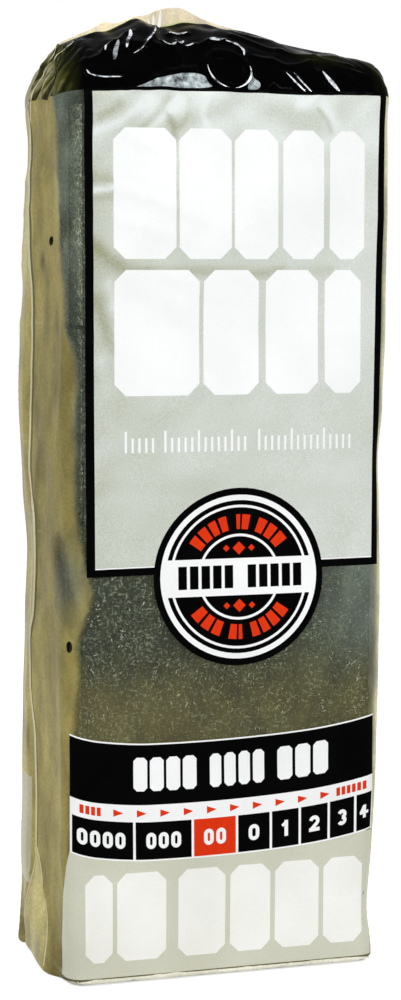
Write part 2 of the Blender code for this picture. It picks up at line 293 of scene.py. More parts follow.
def body_point(core_x, core_y, angle, z):
    out_x = math.cos(angle)
    out_y = math.sin(angle)
    x = core_x * (side_wall(core_x, z) - CORNER_RADIUS) + CORNER_RADIUS * out_x
    y = core_y * (HALF_DEPTH - CORNER_RADIUS) + CORNER_RADIUS * out_y
    tier = abs(math.sin(math.pi * (z - STACK_BASE) / TIER_PITCH))
    y += math.copysign(TIER_BULGE * tier * math.cos(QUARTER * core_x) * abs(out_y), out_y)
    if abs(core_x) == 1.0:
        flat = abs(out_x) ** 3
        x += core_x * gusset_push(core_y, z) * flat
        behind = smooth(2.0 * past_crease(core_y, z)) * abs(out_x)
        x -= core_x * REAR_NARROWING * max(past_crease(core_y, z), 0.0) * abs(out_x)
        if core_x < 0.0:
            x -= along(LEFT_REAR_STANDS, z) * behind
        if core_y == 1.0:
            ear = max(1.0 - z / EAR_FADE, 0.0) ** 2
            x += core_x * EAR_OUT * ear * abs(out_x)
            y += EAR_BACK * ear * max(out_y, 0.0)
    return x, y, z


def base_point(core_x, core_y, angle, h):
    """The rounded edge round the base, and below it the flat fold to the middle."""
    turn = min(max((h - BASE_EDGE) / (BASE_RADIUS - BASE_EDGE), 0.0), 1.0)
    z = BASE_RADIUS * (1.0 - math.cos(turn * QUARTER))
    tuck = BASE_RADIUS * (1.0 - math.sin(turn * QUARTER))
    x, y, z = body_point(core_x, core_y, angle, z)
    x -= tuck * math.cos(angle)
    y -= tuck * math.sin(angle)
    folded = min(max((BASE_EDGE - h) / FOLD_WAY, 0.0), 1.0)
    return x, y * (1.0 - folded), z


def swell(turn):
    return math.sin(math.pi * turn) * math.cos(QUARTER * turn)


def pleat(core_y, side, turn):
    """Pleats of the side film where the gable pulls it together, deeper on the left."""
    place = (past_crease(core_y, SHOULDER_HEIGHT) + 1.0) * 4.0
    wave = 1.0 - 2.0 * abs((place + 1.0) % 2.0 - 1.0)
    return (LEFT_PLEAT if side < 0 else RIGHT_PLEAT) * swell(turn) * wave


def roof_point(core_x, core_y, angle, turn):
    side = side_wall(core_x, SHOULDER_HEIGHT)
    closing = math.cos(turn * QUARTER)
    depth = SEAL_HALF_THICKNESS + (HALF_DEPTH - SEAL_HALF_THICKNESS) * closing
    width = side - (LEFT_END_INSET if core_x < 0 else RIGHT_END_INSET) * (1.0 - closing)
    radius = min(CORNER_RADIUS, depth * SEAL_END_ROUND)
    out_x = math.cos(angle)
    x = core_x * (width - radius) + radius * out_x
    y = core_y * (depth - radius) + radius * math.sin(angle)
    climb = 0.75 * math.sin(turn * QUARTER) + 0.25 * turn
    puff = RIGHT_PUFF * between(core_x, 0.3, 1.0) * swell(turn)
    z = SHOULDER_HEIGHT + curve(RIDGE_RISES, x) * climb + puff
    if abs(core_x) == 1.0:
        flat = abs(out_x) ** 3
        past = past_crease(core_y, SHOULDER_HEIGHT)
        x -= core_x * REAR_NARROWING * max(past, 0.0) * abs(out_x) * (1.0 - turn)
        if core_x < 0.0:
            x -= LEFT_REAR_STANDS[-1][1] * smooth(2.0 * past) * abs(out_x) * (1.0 - turn)
        x += core_x * flat * pleat(core_y, core_x, turn)
        x += core_x * flat * gusset_push(core_y, SHOULDER_HEIGHT) * (1.0 - turn)
    return x, y, z


def film_form(u, h):
    """The film without its wrinkles, at a distance round it and a height up it."""
    core_x, core_y, angle = station(u)
    if h < BASE_RADIUS:
        return Vector(base_point(core_x, core_y, angle, h))
    if h <= SHOULDER_HEIGHT:
        return Vector(body_point(core_x, core_y, angle, h))
    if h <= RIDGE:
        return Vector(roof_point(core_x, core_y, angle, (h - SHOULDER_HEIGHT) / ROOF_WAY))
    x, y, z = roof_point(core_x, core_y, angle, 1.0)
    up = (h - RIDGE) / FIN_WAY
    return Vector((x, y * (1.0 - 0.7 * up), z + curve(FIN_RISES, x) * up))


# Folds of the gathered film. Each has the height and the width of its crest, the width of the painted
# highlight along it (0 for none), and the places that it runs through, as distance round the film and
# height up it, all in millimetres.
FOLDS = (
    (0.9, 1.4, 0.9, ((-99.4, 290), (-97.8, 301), (-94, 312), (-88, 324), (-76, 336), (-60, 346))),
    (0.8, 1.6, 0.0, ((-68, 306), (-60, 318), (-54, 328), (-47, 341))),
    (0.8, 1.4, 0.35, ((-82, 308), (-75.5, 321), (-62, 333), (-48, 344))),
    (0.7, 1.4, 0.0, ((-108, 303), (-106, 318), (-96, 335), (-70, 348))),
    (0.6, 1.1, 0.0, ((-74, 307), (-68, 319), (-58, 331), (-49, 341))),
    (0.5, 1.1, 0.0, ((-58, 310), (-53, 320), (-49, 331))),
    (1.0, 1.0, 0.7, ((-50.5, 318.5), (-49.5, 315.5), (-44.4, 313.8), (-38, 313.2))),
    (1.1, 1.4, 0.0, ((-35, 308), (-28, 310.5), (-20, 315), (-12, 316.8))),
    (1.3, 1.3, 0.0, ((-43.5, 328), (-38.3, 333), (-33, 338.3))),
    (0.9, 1.0, 0.8, ((-43.2, 326.5), (-42.4, 330.0), (-39.6, 333.0))),
    (1.1, 1.1, 1.4, ((-35.2, 327.5), (-34.0, 331), (-32.3, 335), (-30.8, 338.5))),
    (1.1, 1.1, 0.7, ((-33, 324), (-28.5, 326), (-24.5, 331), (-21.5, 339))),
    (0.8, 0.9, 1.3, ((-21.8, 328.6), (-19, 327.2), (-16.6, 328.6))),
    (0.8, 0.9, 1.3, ((-16.6, 330), (-15, 328.8), (-13.2, 330.4))),
    (0.7, 0.9, 0.9, ((-13.4, 326.8), (-9.8, 328.2))),
    (0.8, 0.9, 1.2, ((-17.5, 335.6), (-14, 336.8), (-9.8, 336.6))),
    (0.9, 0.9, 1.1, ((-4, 329.2), (-0.5, 331), (4, 332.4))),
    (0.9, 1.0, 0.9, ((3, 331), (6.6, 330.6), (8.6, 327), (7.6, 323.6))),
    (1.1, 1.0, 0.7, ((21.2, 317), (24.5, 312.4), (27.3, 308.8))),
    (1.0, 0.9, 0.7, ((24.4, 317.2), (27, 312.6), (29.6, 308.8))),
    (1.3, 1.3, 1.7, ((35, 317.5), (37.4, 313), (39.6, 308.8))),
    (0.7, 1.1, 0.0, ((44, 318), (46, 312), (50, 308))),
    (0.9, 1.5, 0.0, ((8, 337), (20, 330), (33, 329), (47, 323))),
    (0.7, 1.4, 0.0, ((12, 324), (23, 321), (37, 325), (50, 317))),
)
# Painted reflections: faces between the folds that lie turned to the light, painted lighter and glossier.
SHEENS = (
    ((-34, 308.7), (-13.6, 315.6), (-8.6, 314), (-7.8, 310.8), (-5.4, 308.7)),
    ((-40.6, 323), (-40.4, 327), (-38.6, 331.6), (-37.4, 333.4), (-37.2, 331.8), (-38.2, 328.5), (-39.4, 323)),
    ((8.6, 314), (11.5, 312), (10.5, 308.7), (5.6, 308.7)),
)
# Painted highlights: streaks across the clear seal and the black below it, with their widths.
FIN_HIGHLIGHTS = (
    (((-17.2, 353.6), (-17.2, 350.0), (-17.8, 343.0)), 1.0),
    (((-14.4, 354.2), (-15.2, 349.0), (-16.2, 341.0)), 1.3),
    (((-19.7, 352.7), (-18.6, 350.0), (-18.8, 346.5)), 0.6),
)
DIMPLE = (0.6 * MM, 316.8 * MM)
DIMPLE_RADIUS = 7.9 * MM
DIMPLE_DEPTH = 1.7 * MM
DIMPLE_RIM = 1.2 * MM
DIMPLE_RIM_WIDTH = 1.1 * MM
# Painted highlight arcs on the dimple's rim: their start and end angles in degrees, and their width in millimetres.
DIMPLE_HIGHLIGHT_ARCS = ((175, 262), (278, 372))
DIMPLE_HIGHLIGHT_WIDTH = 0.7


# Where the pleats of each side run together, as distance from the front's middle and height up the film.
FAN_MIDDLE = (44.0 * MM, 352.0 * MM)
FAN_TURNS = 9.0
FAN_HEIGHT = 0.5 * MM


def fan(u, h):
    """Pleats that spread from the end of the ridge over a side of the gable, 0 to 1."""
    across_fan = abs(u) - FAN_MIDDLE[0]
    below = FAN_MIDDLE[1] - h
    turn = math.atan2(across_fan, max(below, 1.0 * MM))
    away = math.hypot(across_fan, below)
    return ridged(Vector((turn * FAN_TURNS, away * 6.0, 4.0 if u < 0.0 else 9.0)))


def ridged(place):
    """Noise with sharp crests, 0 to about 1, as crumpled film has them."""
    return 1.0 - min(abs(noise.noise(place)) * 2.4, 1.0)


def off_segment(u, h, start, end):
    """Distance of a place from a straight line between two others."""
    du = end[0] - start[0]
    dh = end[1] - start[1]
    share = ((u - start[0]) * du + (h - start[1]) * dh) / (du * du + dh * dh)
    share = min(max(share, 0.0), 1.0)
    return math.hypot(u - start[0] - share * du, h - start[1] - share * dh)


def fold_relief(u, h):
    """Crests of the folds that the gathered top shows, and the round dimple in its front."""
    off = math.hypot(u - DIMPLE[0], h - DIMPLE[1])
    total = DIMPLE_RIM * math.exp(-((off - DIMPLE_RADIUS) / DIMPLE_RIM_WIDTH) ** 2)
    total -= DIMPLE_DEPTH * max(1.0 - (off / DIMPLE_RADIUS) ** 2, 0.0)
    u /= MM
    h /= MM
    for height, width, _, path in FOLDS:
        if abs(u - path[0][0]) > 50.0 or abs(h - path[0][1]) > 60.0:
            continue
        away = min(off_segment(u, h, a, b) for a, b in zip(path, path[1:]))
        total += height * MM * math.exp(-(away / width) ** 2)
    return total


def relief(u, h, point):
    """How far the wrinkled film stands out from its plain form."""
    x, y, z = point
    roof = between(h, 298 * MM, SHOULDER_HEIGHT + 6 * MM) * (1.0 - between(h, RIDGE - 4 * MM, RIDGE))
    body = between(h, 4 * MM, 16 * MM) * (1.0 - between(h, SHOULDER_HEIGHT, SHOULDER_HEIGHT + 20 * MM))
    core_x, core_y, _ = station(u)
    sideways = 1.0 if abs(core_x) == 1.0 else between(abs(core_x), 0.94, 1.0)
    bent = point + 7 * MM * noise.noise_vector(point * 34.0)
    coarse = ridged(bent * 52.0 + Vector((3.1, 0.0, 7.7)))
    fine = noise.noise(bent * 130.0 + Vector((9.0, 2.0, 1.0)))
    crumple = 1.1 * MM * coarse ** 2 + 0.3 * MM * fine - 0.5 * MM
    gathered = between(abs(u), 44 * MM, 58 * MM) * (1.0 - between(abs(u), 120 * MM, 130 * MM))
    crumple = mix(crumple, 0.25 * crumple + FAN_HEIGHT * (fan(u, h) ** 2 - 0.3), gathered)
    crumple += fold_relief(u, h)

    soft = 0.35 * MM * (1.0 + noise.noise(Vector((x * 30.0, y * 30.0, z * 22.0))))
    slant = x * 0.45 + z
    drag = ridged(Vector((x * 14.0, 5.0, slant * 55.0)))
    pulled = between(z, 190 * MM, 260 * MM) * (1.0 - between(x, -30 * MM, 15 * MM))
    hung = ridged(Vector((x * 60.0 + z * 20.0, 2.0, z * 24.0))) * between(z, 278 * MM, 304 * MM)
    label = 0.5 * MM * drag * drag * pulled + 0.6 * MM * hung * hung

    fold = ridged(Vector((y * 34.0 + z * 6.0, x * 8.0, z * 9.0)))
    side = sideways * (0.7 * MM * fold * fold - 0.3 * MM)

    return roof * crumple + body * (soft + label + side)


def film_normal(u, h):
    step = 0.2 * MM
    low = max(h - step, FILM_FOOT)
    high = min(h + step, FILM_TOP)
    across_film = film_form(u + step, h) - film_form(u - step, h)
    up_film = film_form(u, high) - film_form(u, low)
    return across_film.cross(up_film).normalized()


# The print. Sizes are along the front from its middle, and up from the base.
LABEL_CORNERS = (
    (-48.5 * MM, 145.5 * MM),
    (52.6 * MM, 146.4 * MM),
    (54.7 * MM, 307.5 * MM),
    (-48.9 * MM, 307.6 * MM),
)
BORDER = 3.0 * MM
RIGHT_BORDER = 2.7 * MM
KEYLINE = 0.4 * MM
BLACK_TOP_FOOT = 308.4 * MM
UPPER_BLOCKS = ((-41.7, -19.7), (-18.6, 0.2), (1.3, 17.2), (19.0, 34.1), (36.3, 49.3))
LOWER_BLOCKS = ((-41.5, -11.3), (-9.8, 10.2), (12.8, 32.1), (34.6, 48.1))
FOOT_BLOCKS = ((-52.5, -42.8), (-41.2, -23.5), (-19.1, -1.8), (0.0, 14.9), (16.7, 33.2), (35.0, 50.0))
TAGLINE = ((-38.0, 5), (-24.0, 13), (10.0, 15))
TAGLINE_PITCH = 2.4
TAGLINE_FOOT = 184.8 * MM
TAGLINE_SHORT = 5.0 * MM
TAGLINE_TALL = 7.4 * MM
ROUNDEL_X = 3.2 * MM
ROUNDEL_Z = 141.0 * MM
ROUNDEL_RINGS = (
    ("ink_black", 31.0 * MM),
    ("ink_white", 28.6 * MM),
    ("ink_black", 26.7 * MM),
    ("ink_white", 25.1 * MM),
    ("ink_black", 24.2 * MM),
)
ROUNDEL_INNER = (("ink_white", 15.0 * MM), ("ink_black", 14.1 * MM))
ROUNDEL_BAND = 12.9 * MM
PRINT_LEFT = -57.9 * MM
PRINT_RIGHT = 53.9 * MM
FOOT_SIDE = ((-59.4, 43.0), (-61.9, 30.0), (-65.5, 15.0), (-65.3, 2.6))
# Places along the front and how much higher the print low on it lies there.
SAG_RISES = (
    (-57.9 * MM, 4.7 * MM),
    (-50.3 * MM, 2.55 * MM),
    (-43.0 * MM, 1.35 * MM),
    (-35.0 * MM, 0.5 * MM),
    (-28.6 * MM, 0.18 * MM),
    (-13.0 * MM, 0.15 * MM),
    (4.0 * MM, 0.53 * MM),
    (20.0 * MM, 1.3 * MM),
    (33.0 * MM, 2.4 * MM),
    (45.5 * MM, 4.2 * MM),
    (53.9 * MM, 6.0 * MM),
)
BAND_TOP = 83.45 * MM
BAND_LINE = 0.55 * MM
STRIP_TOP = 62.4 * MM
STRIP_BOTTOM = 56.4 * MM
CELLS_BOTTOM = 43.3 * MM
CELL_EDGES = (-34.9, -13.8, 2.4, 15.0, 25.9, 36.9, 47.1)
CELL_NUMBERS = ("0000", "000", "00", "0", "1", "2", "3", "4")
MARKED_CELL = 2
CELL_LINE = 0.9 * MM
DIGIT_WIDTH = 4.0 * MM
GROUP_DIGIT_WIDTH = 3.6 * MM
DIGIT_HEIGHT = 5.7 * MM
DIGIT_PITCH = 4.5 * MM
LAST_DIGIT_SHARE = 0.82
STROKE = 1.35 * MM
ARROW_FIRST = -40.6 * MM
ARROW_PITCH = 8.45 * MM
ARROWS = 10

printed = []


def ink(colour, outline):
    """Add an inked area to the print. Later areas lie over earlier ones."""
    printed.append((colour, outline))


def rectangle(left, bottom, right, top):
    return [(left, bottom), (right, bottom), (right, top), (left, top)]


def chamfered(left, bottom, right, top, cut):
    """A rectangle with its corners cut off."""
    return [
        (left + cut, bottom),
        (right - cut, bottom),
        (right, bottom + cut),
        (right, top - cut),
        (right - cut, top),
        (left + cut, top),
        (left, top - cut),
        (left, bottom + cut),
    ]


def disc(x, z, radius, sides=72):
    turns = [2.0 * math.pi * i / sides for i in range(sides)]
    return [(x + radius * math.cos(t), z + radius * math.sin(t)) for t in turns]


def sector(x, z, inner, outer, start, end, steps=5):
    """A block bent round a centre, between two radii and two angles in degrees."""
    turns = [math.radians(mix(start, end, i / steps)) for i in range(steps + 1)]
    outside = [(x + outer * math.cos(t), z + outer * math.sin(t)) for t in turns]
    inside = [(x + inner * math.cos(t), z + inner * math.sin(t)) for t in reversed(turns)]
    return outside + inside


def arc(x, z, radius, start, end, steps=10):
    """Points on an arc, angles in degrees."""
    turns = [math.radians(mix(start, end, i / steps)) for i in range(steps + 1)]
    return [(x + radius * math.cos(t), z + radius * math.sin(t)) for t in turns]


def rounded(path):
    """The path with its corners cut off twice."""
    for _ in range(2):
        cut = [path[0]]
        for (u0, h0), (u1, h1) in zip(path, path[1:]):
            cut.append((mix(u0, u1, 0.25), mix(h0, h1, 0.25)))
            cut.append((mix(u0, u1, 0.75), mix(h0, h1, 0.75)))
        path = cut + [path[-1]]
    return path


def painted_streak(path, width):
    """Outline of a painted highlight: a streak along a path that runs out thin at both ends."""
    left = []
    right = []
    for i, (u, h) in enumerate(path):
        before = Vector(path[max(i - 1, 0)])
        after = Vector(path[min(i + 1, len(path) - 1)])
        share = 0.12 + 0.88 * math.sin(math.pi * i / (len(path) - 1))
        way = (after - before).normalized() * width * share / 2
        left.append(((u - way.y) * MM, (h + way.x) * MM))
        right.append(((u + way.y) * MM, (h - way.x) * MM))
    return right + left[::-1]


def stroke(points, width):
    """A pen line of even width through points."""
    left = []
    right = []
    for i, (x, z) in enumerate(points):
        before = Vector(points[max(i - 1, 0)])
        after = Vector(points[min(i + 1, len(points) - 1)])
        way = (after - before).normalized() * width / 2
        left.append((x - way.y, z + way.x))
        right.append((x + way.y, z - way.x))
    return left + right[::-1]


def counter_clockwise(outline):
    """The outline in the direction that the triangulation takes as filled."""
    pairs = zip(outline, outline[1:] + outline[:1])
    area = sum(x0 * z1 - x1 * z0 for (x0, z0), (x1, z1) in pairs)
    return outline if area > 0 else outline[::-1]


def sagged(outline):
    """Print low on the front hangs lower in its middle."""
    return [(x, z + curve(SAG_RISES, x)) for x, z in outline]


def subdivided(outline, pitch=OUTLINE_PITCH):
    """The same outline with points no further apart than the pitch."""
    points = []
    for (x0, z0), (x1, z1) in zip(outline, outline[1:] + outline[:1]):
        steps = max(1, math.ceil(math.hypot(x1 - x0, z1 - z0) / pitch))
        points += [(mix(x0, x1, i / steps), mix(z0, z1, i / steps)) for i in range(steps)]
    return points


def across(s, z):
    """Distance round the film of a print point that lies s along the front, at height z."""
    side = 1.0 if s >= 0.0 else -1.0
    flat = side_wall(side, z) - CORNER_RADIUS
    nominal = FRONT_RIGHT if side > 0 else FRONT_LEFT
    if abs(s) <= flat:
        return s * nominal / flat
    return side * (nominal + abs(s) - flat)


def print_label():
    """Grey panel with a black border and a white line at its foot, its words as chamfered blocks."""
    (bl, br, tr, tl) = LABEL_CORNERS
    border = [
        (bl[0] - BORDER, bl[1] - BORDER),
        (br[0] + RIGHT_BORDER, br[1] - BORDER),
        (tr[0] + RIGHT_BORDER, BLACK_TOP_FOOT + KEYLINE),
        (tl[0] - BORDER, BLACK_TOP_FOOT + KEYLINE),
    ]
    keyline = [(bl[0], bl[1] - KEYLINE), (br[0], br[1] - KEYLINE), br, bl]
    ink("ink_black", border)
    ink("ink_white", keyline)
    ink("ink_grey", list(LABEL_CORNERS))
    print_blocks("ink_white", UPPER_BLOCKS, 250.7 * MM, 294.8 * MM, 4.0 * MM)
    print_blocks("ink_white", LOWER_BLOCKS, 204.2 * MM, 247.0 * MM, 4.0 * MM)
    for start, count in TAGLINE:
        for i in range(count):
            left = (start + i * TAGLINE_PITCH) * MM
            top = TAGLINE_FOOT + (TAGLINE_TALL if i % 5 == 0 else TAGLINE_SHORT)
            ink("ink_white", rectangle(left, TAGLINE_FOOT, left + 0.8 * MM, top))


def print_blocks(colour, sides, bottom, top, cut):
    """A row of upright blocks with their corners cut off, between pairs of sides in millimetres."""
    for left, right in sides:
        ink(colour, chamfered(left * MM, bottom, right * MM, top, cut))


def print_roundel():
    for colour, radius in ROUNDEL_RINGS:
        ink(colour, disc(ROUNDEL_X, ROUNDEL_Z, radius))
    letters = ((-56, -47), (-44, -35), (-32, -24), (-21, -13), (-3, 1), (3, 11), (20, 29), (32, 41), (44, 54))
    for start, end in letters:
        for up in (90, 270):
            turn = sector(ROUNDEL_X, ROUNDEL_Z, 16.6 * MM, 21.8 * MM, up - end, up - start)
            ink("ink_red", turn)
    for colour, radius in ROUNDEL_INNER:
        ink(colour, disc(ROUNDEL_X, ROUNDEL_Z, radius))
    for up in (1, -1):
        for off, size in ((-4.6, 1.2), (0.0, 2.3), (4.6, 1.2)):
            ink("ink_red", disc(ROUNDEL_X + off * MM, ROUNDEL_Z + up * 10.0 * MM, size * MM, 4))
    half = ROUNDEL_BAND / 2
    reach = math.sqrt(ROUNDEL_RINGS[1][1] ** 2 - half ** 2)
    band = rectangle(ROUNDEL_X - reach, ROUNDEL_Z - half, ROUNDEL_X + reach, ROUNDEL_Z + half)
    ink("ink_white", band)
    for i in range(11):
        left = ROUNDEL_X + (-22.1 + 4.2 * i) * MM
        if i != 5:
            ink("ink_black", rectangle(left, ROUNDEL_Z - 3.9 * MM, left + 3.1 * MM, ROUNDEL_Z + 4.1 * MM))


def digit(sign, x, z, w, h, pen):
    """Outlines of a numeral, lower left corner at x, z: strokes, then holes."""
    r = w / 2 - pen / 2
    cx = x + w / 2
    if sign == "0":
        ring = arc(cx, z + h - w / 2, w / 2, 0, 180) + arc(cx, z + w / 2, w / 2, 180, 360)
        thin = w / 2 - pen
        hole = arc(cx, z + h - w / 2, thin, 0, 180) + arc(cx, z + w / 2, thin, 180, 360)
        return [ring], [hole]
    if sign == "1":
        bar = rectangle(cx - pen / 4, z, cx + 3 * pen / 4, z + h)
        flag = stroke([(cx - 1.2 * MM, z + h - 1.9 * MM), (cx + pen / 4, z + h - pen / 2)], pen * 0.8)
        return [bar, flag], []
    if sign == "2":
        bowl = arc(cx, z + h - w / 2, r, 170, -35)
        leg = stroke(bowl + [(x + pen / 2, z + pen / 2)], pen)
        return [leg, rectangle(x, z, x + w, z + pen)], []
    if sign == "3":
        small = (h - pen) / 4
        upper = arc(cx, z + h - pen / 2 - small, small, 160, -90)
        lower = arc(cx, z + pen / 2 + small, small, 90, -160)
        return [stroke(upper, pen), stroke(lower, pen)], []
    stem = rectangle(x + w - 1.9 * pen, z, x + w - 0.9 * pen, z + h)
    shelf = rectangle(x, z + 1.4 * MM, x + w, z + 1.4 * MM + pen)
    brace = stroke([(x + pen / 3, z + 1.9 * MM), (x + w - 1.5 * pen, z + h - pen / 3)], pen)
    return [brace, stem, shelf], []


def print_number(text, middle, foot, ground):
    share = LAST_DIGIT_SHARE if text == CELL_NUMBERS[-1] else 1.0
    wide = share * (GROUP_DIGIT_WIDTH if len(text) > 1 else DIGIT_WIDTH)
    left = middle - (len(text) * DIGIT_PITCH - DIGIT_PITCH + wide) / 2
    foot += DIGIT_HEIGHT * (1.0 - share) / 2
    for i, sign in enumerate(text):
        strokes, holes = digit(sign, left + i * DIGIT_PITCH, foot, wide, DIGIT_HEIGHT * share, STROKE * share)
        for outline in strokes:
            ink("ink_white", sagged(outline))
        for outline in holes:
            ink(ground, sagged(outline))


def print_scale():
    """Black band, white strip with arrows, and the row of grade numbers."""
    whole = rectangle(PRINT_LEFT, CELLS_BOTTOM - BAND_LINE, PRINT_RIGHT, BAND_TOP + BAND_LINE)
    ink("ink_white", sagged(subdivided(whole)))
    band = rectangle(PRINT_LEFT, STRIP_TOP, PRINT_RIGHT, BAND_TOP)
    ink("ink_black", sagged(subdivided(band)))
    words = ((-35.1, 5.0, 5.95, 4), (-7.4, 4.2, 5.3, 4), (17.6, 5.6, 6.7, 3))
    for start, width, pitch, count in words:
        for i in range(count):
            left = (start + i * pitch) * MM
            bar = chamfered(left, 67.2 * MM, left + width * MM, 79.0 * MM, 1.2 * MM)
            ink("ink_white", sagged(bar))

    for i in range(ARROWS):
        tip = ARROW_FIRST + i * ARROW_PITCH + 1.8 * MM
        middle = (STRIP_TOP + STRIP_BOTTOM) / 2
        back = tip - 3.6 * MM
        ink("ink_red", sagged([(back, middle - 1.3 * MM), (tip, middle), (back, middle + 1.3 * MM)]))
    for start, count in ((-54.3, 4), (39.8, 6)):
        for i in range(count):
            left = (start + 2.0 * i) * MM
            ink("ink_red", sagged(rectangle(left, 57.9 * MM, left + 1.4 * MM, 60.9 * MM)))

    edges = [PRINT_LEFT + CELL_LINE / 2] + [edge * MM for edge in CELL_EDGES] + [PRINT_RIGHT]
    for i, text in enumerate(CELL_NUMBERS):
        ground = "ink_red" if i == MARKED_CELL else "ink_black"
        left = edges[i] + CELL_LINE / 2
        right = edges[i + 1] - CELL_LINE / 2
        cell = rectangle(left, CELLS_BOTTOM, right, STRIP_BOTTOM)
        ink(ground, sagged(subdivided(cell)))
        foot = CELLS_BOTTOM + (STRIP_BOTTOM - CELLS_BOTTOM - DIGIT_HEIGHT) / 2
        print_number(text, (left + right) / 2 - (0.5 * MM if i == 0 else 0.0), foot, ground)


def print_foot():
    """Grey field below the scale, with two groups of pale blocks."""
    top = CELLS_BOTTOM + SAG_RISES[0][1]
    right = [(PRINT_RIGHT, 2.6 * MM), (PRINT_RIGHT, top), (PRINT_LEFT, top)]
    ink("ink_pale", right + [(s * MM, z * MM) for s, z in FOOT_SIDE])
    print_blocks("ink_cream", FOOT_BLOCKS, 8.2 * MM, 39.2 * MM, 3.2 * MM)


def print_front():
    printed.clear()
    print_foot()
    print_label()
    print_roundel()
    print_scale()


# Vents in the left side: place round and up the film, half width and half height.
VENTS = (
    (-(FRONT_LEFT + CORNER + 13.0 * MM), 256.9 * MM, 2.7 * MM, 1.6 * MM),
    (-(FRONT_LEFT + CORNER * 0.62), 118.6 * MM, 1.3 * MM, 2.0 * MM),
)


# The lower edge of the black top, on from the front round to the back.
BLACK_EDGE = (
    (0.0, BLACK_TOP_FOOT),
    (FRONT_LEFT, BLACK_TOP_FOOT),
    (FRONT_LEFT + CORNER, 306.8 * MM),
    (FRONT_LEFT + CORNER + 0.07 * SIDE, 306.0 * MM),
    (FRONT_LEFT + CORNER + 0.17 * SIDE, 306.6 * MM),
    (FRONT_LEFT + CORNER + 0.24 * SIDE, 304.6 * MM),
    (FRONT_LEFT + CORNER + 0.36 * SIDE, 306.4 * MM),
    (FRONT_LEFT + CORNER + 0.6 * SIDE, 306.6 * MM),
    (FRONT_LEFT + CORNER + SIDE, 303.0 * MM),
    (LEFT_ROUND, 303.0 * MM),
)
# Half width of the painted highlight along the fold between the black top and the clear seal.
SEAL_HIGHLIGHT_HALF_WIDTH = 0.35 * MM
CREASE_END = 303 * MM
# The legs below the left side's crease, painted as highlight lines: how far they spread at the base, and their
# width.
LEG_SPREAD_AHEAD = 0.62
LEG_SPREAD_BEHIND = 0.98
LEG_BEND_AHEAD = 0.7
LEG_BEND_BEHIND = 1.3
LEG_WIDTH = 0.6 * MM
REAR_FIELD_EDGE = 104.0 * MM
REAR_FIELD_FOOT = 26.0 * MM
REAR_FIELD_TOP = 65.0 * MM


def leg_share(z, behind):
    """How far a leg of the gusset, painted as a highlight line, stands from the crease's line, as share of its
    panel.
    """
    down = min(max(1.0 - z / GUSSET_APEX, 0.0), 1.0)
    if behind:
        return LEG_SPREAD_BEHIND * down ** LEG_BEND_BEHIND
    return LEG_SPREAD_AHEAD * down ** LEG_BEND_AHEAD


def leg_highlight_areas():
    """Painted highlight lines along the legs that run from the foot of the left side's crease to the base."""
    areas = []
    steps = 16
    for behind in (False, True):
        path = []
        for i in range(steps + 1):
            z = mix(GUSSET_APEX + 2 * MM, BASE_RADIUS, i / steps)
            crease = crease_share(z)
            core_y = crease + (1.0 - crease if behind else -1.0 - crease) * leg_share(z, behind)
            path.append((-(FRONT_LEFT + CORNER + SIDE * (1.0 + core_y) / 2), z))
        areas.append(("painted_crease_highlight", stroke(path, LEG_WIDTH)))
    return areas


def crease_highlight_and_shade_areas():
    """A painted highlight along each side's crease and painted shade in front of it."""
    areas = leg_highlight_areas()
    steps = 60
    for side, flat in ((-1.0, FRONT_LEFT), (1.0, FRONT_RIGHT)):
        heights = [mix(GUSSET_APEX, CREASE_END, i / steps) for i in range(steps + 1)]
        places = [flat + CORNER + SIDE * (1.0 + crease_share(z)) / 2 for z in heights]
        widths = [1.0 - 0.9 * between(z, CREASE_END - 14 * MM, CREASE_END) for z in heights]
        dark = [wide * mix(1.7, 2.8, between(z, 90 * MM, 130 * MM)) * MM for z, wide in zip(heights, widths)]
        edge = [1.1 * MM * wide for wide in widths]
        light = [-0.7 * MM * wide for wide in widths]
        for colour, front, back in (("painted_crease_shade", dark, edge), ("painted_crease_highlight", edge, light)):
            out = [(side * (u - off), z) for u, z, off in zip(places, heights, front)]
            home = [(side * (u - off), z) for u, z, off in zip(places, heights, back)]
            areas.append((colour, out + home[::-1]))
    return areas


